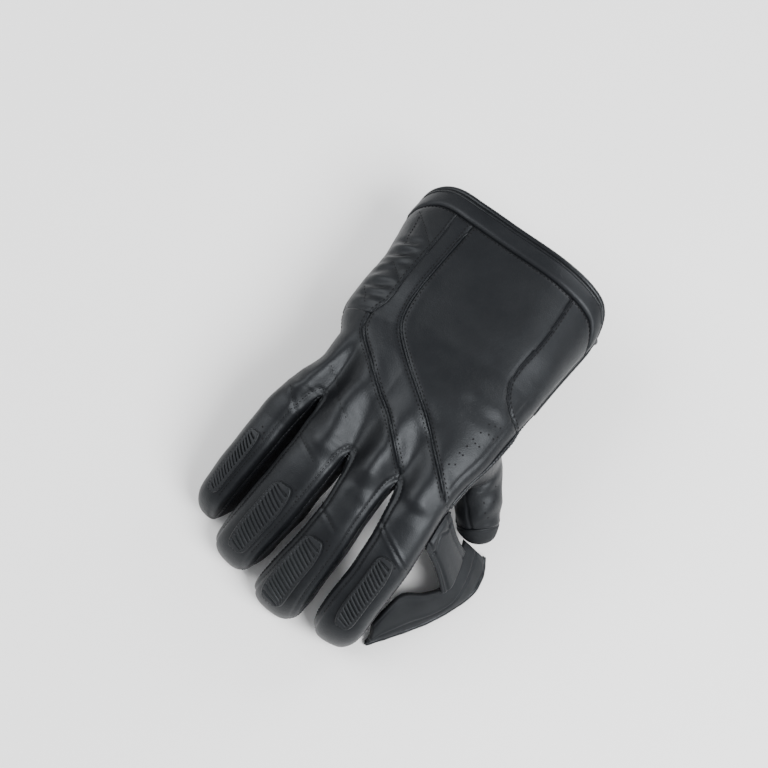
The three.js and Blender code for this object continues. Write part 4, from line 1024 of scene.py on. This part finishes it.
def build_welt(name, table, first, last):
    path = flat_line(table, 1.2)
    path = path[(path[:, 1] >= first * LENGTH) & (path[:, 1] <= last * LENGTH)]
    side = sideways(path)
    taper = np.minimum(1, from_ends(len(path)) / 4.0)
    outer, inner = [], []
    for place, lift in WELT_PROFILE:
        x, s = (path + side * place).T
        outer.append(on_back(x, s, WELT_ROOT + (lift - WELT_ROOT) * taper))
        inner.append(on_back(x, s, -1.4))
    faces = grid_faces(len(WELT_PROFILE), len(path), True)
    make_skin(name, "_fold", np.vstack(outer), np.vstack(inner), faces, (LEATHER_EDGE,), "leather")


build_welt("seam_welt_cuff", MAIN_SEAM, 0.10, 0.598)
build_welt("seam_welt_back", BACK_SEAM, 0.385, 0.600)
for name, off in (("main", -2.4), ("main", 2.4), ("back", -2.4), ("back", 2.4), ("strip", -1.9),
                  ("side", 1.9), ("knuckle", 0.0)):
    threads += line_stitches(LINES_FLAT[name], off)
for line in KNUCKLE_LINES:
    threads += line_stitches(line, pitch=2.5)
for line in ZIGZAG_LINES:
    threads += line_stitches(line, pitch=2.6, length=1.8, radius=0.36)

# Stitches round the slits and along the border
CUFF_REACH = 0.985 * HALF
for n in range(3):
    low = CROTCH[n]
    left, right = (np.arange(low, TIPS[i] - 26.0, 1.0) for i in (n, n + 1))
    bow = np.linspace(math.pi, 2 * math.pi, 14)[1:-1]
    x = np.concatenate([finger_sides(n, left)[1][::-1] - SLIT_SEAM,
                        line_at(n + 1, low) + SLIT_SEAM * np.cos(bow),
                        finger_sides(n + 1, right)[0] + SLIT_SEAM])
    s = np.concatenate([left[::-1], low + SLIT_SEAM * np.sin(bow), right])
    threads += stitches(*on_relief(x, s), pitch=2.5)
x = np.linspace(-0.975, 0.975, 260) * CUFF_REACH
threads += stitches(*on_relief(x, cuff_start(x) + BORDER + 1.7), pitch=2.8)
make_piece("stitching", *join(threads), (THREAD,), "leather")


# Thumb stall: rings of share along, width and depth
THUMB_LENGTH = 68.0
THUMB_WIDTH = 15.5
THUMB_DEPTH = 13.5
CAP_AT = 0.80
FIRST_RING = 0.16
RINGS = [(FIRST_RING, 1.04, 0.88), (0.34, 1.02, 0.94), (0.52, 1.0, 1.02), (0.68, 0.98, 1.0),
         (CAP_AT, 0.93, 0.95), (0.90, 0.78, 0.80), (0.965, 0.55, 0.56), (0.995, 0.25, 0.26),
         (1.0, 0.12, 0.12)]
# Mouth of the stall in the hand's side: middle and half length along, and a share of the side's height
MOUTH = (0.476 * LENGTH, 0.055 * LENGTH, 0.90)
THUMB_LINE = np.array([[0, 0, 0], [-0.006, 0.025, -0.235], [-0.040, 0.091, -0.338], [-0.097, 0.191, -0.438],
                       [-0.153, 0.282, -0.529], [-0.212, 0.368, -0.610], [-0.271, 0.444, -0.676],
                       [-0.315, 0.518, -0.729]])


def mouth_point(angle, inset):
    s = MOUTH[0] - (MOUTH[1] - inset) * np.cos(angle)
    ax, az = finger_sides(0, s)[0], thumb_side(s)
    px, pz = ax + inset_at(s), -thumb_side(s, True)
    reach = np.hypot(px - ax, pz - az) / 2
    wx, wz = (ax - px) / (2 * reach), (az - pz) / (2 * reach)
    r = (reach * MOUTH[2] - inset) * np.sin(angle)
    return bend((ax + px) / 2 + wx * r - wz * 2 * GAP, s, (az + pz) / 2 + wz * r + wx * 2 * GAP)


thumb_base = (mouth_point(math.pi / 2, 0) + mouth_point(-math.pi / 2, 0)) / 2
thumb_path = fine(thumb_base + THUMB_LINE * THUMB_LENGTH, 0.25)
thumb_tangent = unit(np.gradient(thumb_path, axis=0))


def ring_point(along, angle, inset, extra):
    centre = at_share(thumb_path, along)
    t = at_share(thumb_tangent, along)
    m = smooth(0.02, 0.5, along)[..., None]
    lean = np.array([-1, 0, 0.3]) * (1 - m) + np.array([-0.35, 0.15, 1]) * m
    w = unit(np.cross(lean, t))
    up = np.cross(t, w)
    wide = THUMB_WIDTH * curve(RINGS, along, 1) - inset + extra
    deep = THUMB_DEPTH * curve(RINGS, along, 2) - inset + extra
    p = centre + w * (wide * np.cos(angle))[..., None] + up * (deep * np.sin(angle))[..., None]
    mouth_share = (0.6 * (1 - smooth(0.1, 0.5, along)))[..., None]
    lift = mouth_point(angle, inset - extra) + centre - thumb_base
    return p * (1 - mouth_share) + lift * mouth_share


def thumb_point(along, angle, inset, extra=0.0):
    along, angle = np.broadcast_arrays(along, angle)
    extra = np.broadcast_to(extra, along.shape)
    ring = ring_point(np.maximum(along, FIRST_RING), angle, inset, extra)
    start = mouth_point(angle, inset - extra * 0.3)
    k = np.clip(along / FIRST_RING, 0, 1)[..., None]
    return start * (1 - k) + ring * k


def thumb_relief(along, angle):
    h = 0.45 * np.sin(along * 23 + 2.0 * np.sin(angle * 2))
    h *= smooth(0.1, 0.3, along) * smooth(0.95, 0.7, along)
    h += dip((along - CAP_AT) * THUMB_LENGTH, 0.8, 1.1)
    h += dip(np.abs(np.sin(angle)) * THUMB_DEPTH, 0.9, 1.3) * (along < CAP_AT)
    slanted = (angle - 2.35) * THUMB_WIDTH + 14 * (along - 0.5)
    h += dip(slanted, 0.7, 1.1) * smooth(0.25, 0.34, along) * (along < CAP_AT)
    return h


def thumb_piece(name, angles, shares, thickness, skin, slot_name, close=False):
    a, u = np.meshgrid(angles, shares)
    outer = thumb_point(u, a, 0.0, thumb_relief(u, a) * smooth(0, 0.08, u))
    inner = thumb_point(np.minimum(u, 0.975), a, thickness)
    rows, k = u.shape
    faces = grid_faces(rows, k)
    if close:
        same = np.arange(rows * k)
        same[k - 1::k] = same[::k]
        faces = same[faces]
    points, all_faces, slots = thick(outer, inner, faces)
    if close:
        total, last = rows * k, (rows - 1) * k
        all_faces.append([last + j for j in range(k - 1)])
        all_faces.append([total + last + j for j in range(k - 1)][::-1])
        slots += [0, 1]
    make_piece(name + "_skin", points, all_faces, (skin, SUEDE), slot_name, slots, name)


STALL = np.linspace(0, CAP_AT - 0.002, 84)
CAP = CAP_AT + (1 - CAP_AT) * np.linspace(0, 1, 40) ** 0.8
SEAM_ANGLE = 0.004
thumb_piece("thumb_back", np.linspace(SEAM_ANGLE, math.pi - SEAM_ANGLE, 56), STALL, LEATHER, LEATHER_BACK,
            "leather")
thumb_piece("thumb_palm", np.linspace(-math.pi + SEAM_ANGLE, -SEAM_ANGLE, 56), STALL, RUBBER, PALM_RUBBER,
            "palm_rubber")
thumb_piece("thumb_cap", np.linspace(0, 2 * math.pi, 97), CAP, LEATHER, BAND_RUBBER, "palm_rubber", True)


# Dark cords: in the strip's and the side panel's seams, along the slits and both outer sides, round the cap
seam_lines = []
for name in ("strip", "side"):
    path = resample(LINES_FLAT[name], 1.0)
    x, s = path[path[:, 1] > cuff_start(path[:, 0]) + BORDER + 0.5].T
    seam_lines.append(sweep(on_back(x, s, back_relief(x, s) + 0.05), 0.42, 8))
for i, column, first in ((0, 0, 0.345 * LENGTH), (3, 1, 0.365 * LENGTH), (0, 1, CROTCH[0]), (1, 0, CROTCH[0]),
                         (1, 1, CROTCH[1]), (2, 0, CROTCH[1]), (2, 1, CROTCH[2]), (3, 0, CROTCH[2])):
    s = np.arange(first + 1.0, TIPS[i] - 0.12 * TIP, 0.8)
    x = finger_sides(i, s)[column]
    rough = 0.12 * np.sin(s * 2.3 + i) + 0.10 * np.sin(s * 5.1 + 2 * column)
    if (i, column) == (0, 0):
        rough = rough + 1.1 * smooth(0.38, 0.42, s / LENGTH) * smooth(0.63, 0.59, s / LENGTH)
    seam_lines.append(sweep(face_point(i, x, s, False, -0.35 + 0.3 * rough), 0.75 + rough, 8))
around = np.linspace(0, 2 * math.pi, 90)
seam_lines.append(sweep(thumb_point(np.full(90, CAP_AT - 0.001), around, 0.0, -0.75), 0.6, 8))
make_piece("seam_edges", *join(seam_lines), (LEATHER_EDGE,), "leather")


def make_cord(node, parts):
    make_piece(node + "_cord", *join(parts), (LEATHER_EDGE,), "piping", node=node)


# Web between thumb and index finger, in shares of its run: along, out and up of the lower edge,
# then out, up and back of the upper edge
WEB = [(0.015, 0.083, 0.055, -0.039, 0.203, -0.050),
       (0.052, 0.127, 0.043, -0.011, 0.217, -0.048),
       (0.107, 0.171, 0.037, 0.021, 0.222, -0.046),
       (0.207, 0.210, 0.036, 0.077, 0.222, -0.035),
       (0.347, 0.213, 0.036, 0.121, 0.226, 0.003),
       (0.504, 0.190, 0.036, 0.083, 0.240, 0.040),
       (0.650, 0.149, 0.037, 0.016, 0.259, 0.086),
       (0.796, 0.103, 0.037, 0.016, 0.240, 0.125),
       (0.889, 0.071, 0.039, 0.024, 0.151, 0.083)]
web_start = thumb_path[-1]
run = (bend(finger_sides(0, LENGTH)[0], LENGTH, 0) - web_start) * (1, 1, 0)
RUN = float(np.linalg.norm(run))
run_way = run / RUN
out_way = np.array([-run_way[1], run_way[0], 0])
web_origin = web_start * (1, 1, 0)


def on_web(along, out, up):
    z = np.zeros(np.shape(along))
    return (web_origin + (np.asarray(along) * RUN)[..., None] * run_way
            + (np.asarray(out) * RUN)[..., None] * out_way + np.stack([z, z, np.asarray(up) * RUN], -1))


web_index = np.linspace(0, 100, len(WEB))
web_cols = [fine([(t, row[c]) for t, row in zip(web_index, WEB)], 0.5) for c in range(6)]


def outward(n):
    """Normals turned to the outside of the web."""
    return n * np.where((n @ out_way) < 0, -1, 1)[..., None]


def web_point(u, v, off=0.0):
    along, out, low, inner, high, back = (np.interp(u * 100, *web_cols[c].T) for c in range(6))
    a, b = on_web(along, out, low), on_web(along - back, inner, high)
    v = np.asarray(v)[..., None]
    sag = 4 * v * (1 - v) * 0.018 * RUN
    return a * (1 - v) + b * v + web_normal(a, b) * (sag + np.asarray(off)[..., None])


def web_normal(a, b):
    return outward(unit(np.cross(b - a, run_way)))


WEB_WIDTH = 26.0
u, v = np.meshgrid(np.linspace(0, 1, 150), np.linspace(0, 1, 44))
from_line = (v - 0.52 + 0.30 * smooth(0.35, 0.62, u)) * WEB_WIDTH
h = dip(from_line, 0.9, 1.1) + ridge(from_line - 2.6, 0.5, 1.6)
h += 0.4 * np.sin(u * 17 + 3 * v) * fade_ends(u, 0.1) + dip(v * WEB_WIDTH - 24.0, 0.5, 0.9)
h += 0.7 * np.sqrt(np.clip(1 - (2 * v - 1) ** 6, 0, 1)) - 0.5
inner = floor_at(web_point(u, v, np.full(u.shape, -WEB_THICK)), 0.1)
band = make_skin("web_band", "_skin", web_point(u, v, np.minimum(h, 1.2)), inner, grid_faces(*u.shape, True),
                 (BAND_RUBBER, PALM_RUBBER), "palm_rubber")

us = np.linspace(0, 1, 120)
first, second = web_point(us, np.zeros(120)), web_point(us, np.full(120, 0.5))
n = unit(web_point(us, np.zeros(120), np.ones(120)) - first)
roll = first - n * WEB_THICK / 2 + unit(first - second) * (ROLL - 0.7)
roll = roll + n * (np.maximum(0, ROLL - roll[:, 2]) / n[:, 2])[:, None]
make_cord("web_edge_roll", [sweep(roll, ROLL * (1 + 0.04 * np.sin(us * 60)), 14)])


# Stem from the band up to the hand: its place on both, in shares of the run and of the length
STEM_BAND = (0.12, 0.37)
STEM_HAND = (0.612, 0.705)


def web_inner(along):
    t = [(r[0] - r[5], r[3], r[4]) for r in WEB]
    return on_web(along, curve(t, along, 1), curve(t, along, 2))


def stem_point(c, v, off=0.0):
    c, v = np.broadcast_arrays(np.asarray(c, float), np.asarray(v, float))

    def spot(c, v):
        s = (STEM_HAND[0] + (STEM_HAND[1] - STEM_HAND[0]) * c) * LENGTH
        top = bend(finger_sides(0, s)[0] - (GAP + STEM_THICK) / 2, s, -GUSSET * 0.4)
        low = web_inner(STEM_BAND[0] + (STEM_BAND[1] - STEM_BAND[0]) * c)
        low = low + unit(low - top) * 1.3
        p = top + (low - top) * v[..., None]
        middle = np.mean(STEM_HAND) * LENGTH
        c0 = bend(finger_sides(0, middle)[0] - STEM_THICK, middle, -STEM_THICK)
        c1 = web_inner(np.array(np.mean(STEM_BAND)))
        centre = c0 + (c1 - c0) * v[..., None]
        return centre + (p - centre) * (1 - 0.16 * np.sin(math.pi * v))[..., None]

    d = 0.02
    du = spot(np.clip(c + d, 0, 1), v) - spot(np.clip(c - d, 0, 1), v)
    dv = spot(c, np.clip(v + d, 0, 1)) - spot(c, np.clip(v - d, 0, 1))
    return spot(c, v) + outward(unit(np.cross(dv, du))) * np.asarray(off)[..., None]


STEM_LENGTH = 36
STEM_WIDTH = 22
v, c = np.meshgrid(np.linspace(0, 1, 70), np.linspace(0, 1, 46))
h = 0.9 * np.sqrt(np.clip(1 - (2 * c - 1) ** 4, 0, 1)) * smooth(0, 0.1, v)
h += dip((v - 0.17 - 0.05 * np.sin(c * 9.0)) * STEM_LENGTH, 0.7, 1.0)
h += dip(np.minimum(c, 1 - c) * STEM_WIDTH - 2.6, 0.8, 0.8)
outer, inner = stem_point(c, v, STEM_THICK / 2 + h - 0.3), stem_point(c, v, np.full(c.shape, -STEM_THICK / 2))
points, all_faces, slots = thick(outer, inner, grid_faces(*c.shape))
parts = [(points, all_faces)]
for c_edge in (0.0, 1.0):
    parts.append(sweep(stem_point(np.full(60, c_edge), np.linspace(0.02, 0.99, 60), np.full(60, 0.6)), 1.15))
    slots += [0] * len(parts[-1][1])
make_piece("web_stem_skin", *join(parts), (LEATHER_STRIP, PALM_RUBBER), "leather", slots, "web_stem")


# Piping round the cuff's edge and the binding of the cuff's front
def rounded(path):
    for _ in range(3):
        path[1:-1] = (path[:-2] + 2 * path[1:-1] + path[2:]) / 4
    return path


def edge_path():
    off = PIPING - 0.5

    def side_run(i, column, s_from, s_to):
        s = np.linspace(s_from, s_to, 60) * LENGTH
        x = finger_sides(i, s)[column]
        half = thumb_side(s) if column == 0 else little_side(s)
        return bend(x + (1 if column == 0 else -1) * LEATHER * 0.5, s, np.minimum(half, CUFF_EDGE) - off)

    flat, owner = [], []
    for i in (3, 2, 1, 0):
        for f in np.linspace(1, 0, 34)[:-1 if i else None]:
            s = cuff_start(np.array([across(i, 20.0, f)]))[0]
            x = across(i, s, f)
            flat.append((x, s, face_height(i, x, s, False)))
            owner.append(i)
    flat = np.array(flat, float)
    t = unit(np.gradient(flat, axis=0))
    points = []
    for i, p, along in zip(owner, flat, t):
        n = flat_normal(i, p[0], p[1], False)
        away = unit(np.cross(n, along))
        if away[1] > 0.2 or (abs(away[1]) <= 0.2 and away[2] > 0):
            away = -away
        points.append(p - n * LEATHER / 2 + away * off)
    path = [side_run(3, 1, 0.36, 0.14), bend(*np.array(points).T), side_run(0, 0, 0.14, 0.33)]
    return resample(rounded(np.vstack(path)), 1.3)


x = np.linspace(-0.955, 0.955, 260) * CUFF_REACH
bead = resample(on_back(x, cuff_start(x) + 1.9, 0.55), 1.2)
make_cord("cuff_rim_piping", [sweep(edge_path(), PIPING, 14), sweep(bead, 0.75, 8)])

binding = []
for i in (3, 2, 1, 0):
    x = across(i, PALM_CUFF_END * LENGTH, np.linspace(1, 0, 60), True)
    s = palm_cuff_edge(x)
    slope = np.gradient(s, x)
    away = unit(np.stack([slope, -np.ones_like(slope)], 1))
    edge = face_point(i, x, s, True, -RUBBER / 2)
    near = face_point(i, x - away[:, 0], s - away[:, 1], True, -RUBBER / 2)
    binding.append(edge + unit(edge - near) * (BINDING - 0.6))
binding = floor_at(rounded(resample(np.vstack(binding), 1.3)), BINDING)
taper = BINDING * (0.4 + 0.6 * smooth(0, 9, 1.3 * from_ends(len(binding))))
make_cord("cuff_palm_binding", [sweep(binding, taper, 12)])


# Vent holes: small dimples, coloured near black as painted shade for the inside of each open hole
DIMPLE_SIDES = 12
DIMPLE_RADIUS = 0.62


def dimple(p, up):
    up = unit(up)
    a = unit(np.cross(up, (0.3, 0.9, 0.2)))
    b = np.cross(up, a)
    angles = np.linspace(0, 2 * math.pi, DIMPLE_SIDES, endpoint=False)
    pts = [p + up * 0.02]
    for r, lift in ((0.75, 0.04), (1.0, 0.10), (1.0, -0.6)):
        pts += [p + up * lift + DIMPLE_RADIUS * r * (a * math.cos(t) + b * math.sin(t)) for t in angles]
    faces = [[0, 1 + k, 1 + (k + 1) % DIMPLE_SIDES] for k in range(DIMPLE_SIDES)]
    faces += tube_faces(3, DIMPLE_SIDES, 1)
    faces.append([1 + 2 * DIMPLE_SIDES + k for k in range(DIMPLE_SIDES)][::-1])
    return np.array(pts), faces


spots = [(share * HALF, q * LENGTH) for share, q in HOLES]
spots += [(float(across(i, q * LENGTH, f)), q * LENGTH) for i, f, q in VENTS]
holes = [dimple(p, up) for p, up in zip(*on_relief(*np.array(spots).T))]
along, angle = np.array(THUMB_VENTS).T
h = thumb_relief(along, angle)
p = thumb_point(along, angle, 0.0, h)
holes += [dimple(a, b) for a, b in zip(p, thumb_point(along, angle, 0.0, h + 1) - p)]
make_piece("vent_holes", *join(holes), (HOLE_SHADE,), "gusset_cloth")


# Floor, camera and soft studio light
def floor_look():
    m, tree, shader, co = nodes_of("floor_pale")
    ramp(tree, noise(tree, co, 3.0, 2.0, 0.5), shader.inputs["Base Color"], (0.92,) * 3, (0.95,) * 3)
    shader.inputs["Roughness"].default_value = 0.6
    return m


floor_mesh = bpy.data.meshes.new("floor")
floor_mesh.from_pydata([(-4, -4, 0), (4, -4, 0), (4, 4, 0), (-4, 4, 0)], [], [(0, 1, 2, 3)])
floor_mesh.materials.append(floor_look())
floor = bpy.data.objects.new("floor", floor_mesh)
bpy.context.scene.collection.objects.link(floor)


def aim(o, way):
    o.rotation_euler = Vector(way).to_track_quat("-Z", "Y").to_euler()
    bpy.context.scene.collection.objects.link(o)


azimuth, elevation, reach = math.radians(214), math.radians(71), 1.180
target = np.array([0.029163, -0.012293, 0.050])
back = np.array([math.sin(azimuth) * math.cos(elevation), -math.cos(azimuth) * math.cos(elevation),
                 math.sin(elevation)])
camera_data = bpy.data.cameras.new("camera")
camera_data.lens = 85
camera_data.sensor_width = 36
camera = bpy.data.objects.new("camera", camera_data)
camera.location = (target + back * reach).tolist()
aim(camera, (-back).tolist())
bpy.context.scene.camera = camera

for name, place, size, power in (("key", (-1.3, 0.25, 1.5), 1.1, 72), ("fill", (1.5, 0.2, 1.6), 1.7, 42),
                                 ("low", (-0.7, -1.7, 0.9), 1.0, 24)):
    data = bpy.data.lights.new(name, "AREA")
    data.shape = "DISK"
    data.size = size
    data.energy = power
    light = bpy.data.objects.new(name, data)
    light.location = place
    aim(light, Vector((0, 0, 0.03)) - Vector(place))

world = bpy.data.worlds.new("studio")
world.use_nodes = True
background = world.node_tree.nodes["Background"]
background.inputs["Color"].default_value = (0.93, 0.94, 0.95, 1)
background.inputs["Strength"].default_value = 0.62
bpy.context.scene.world = world
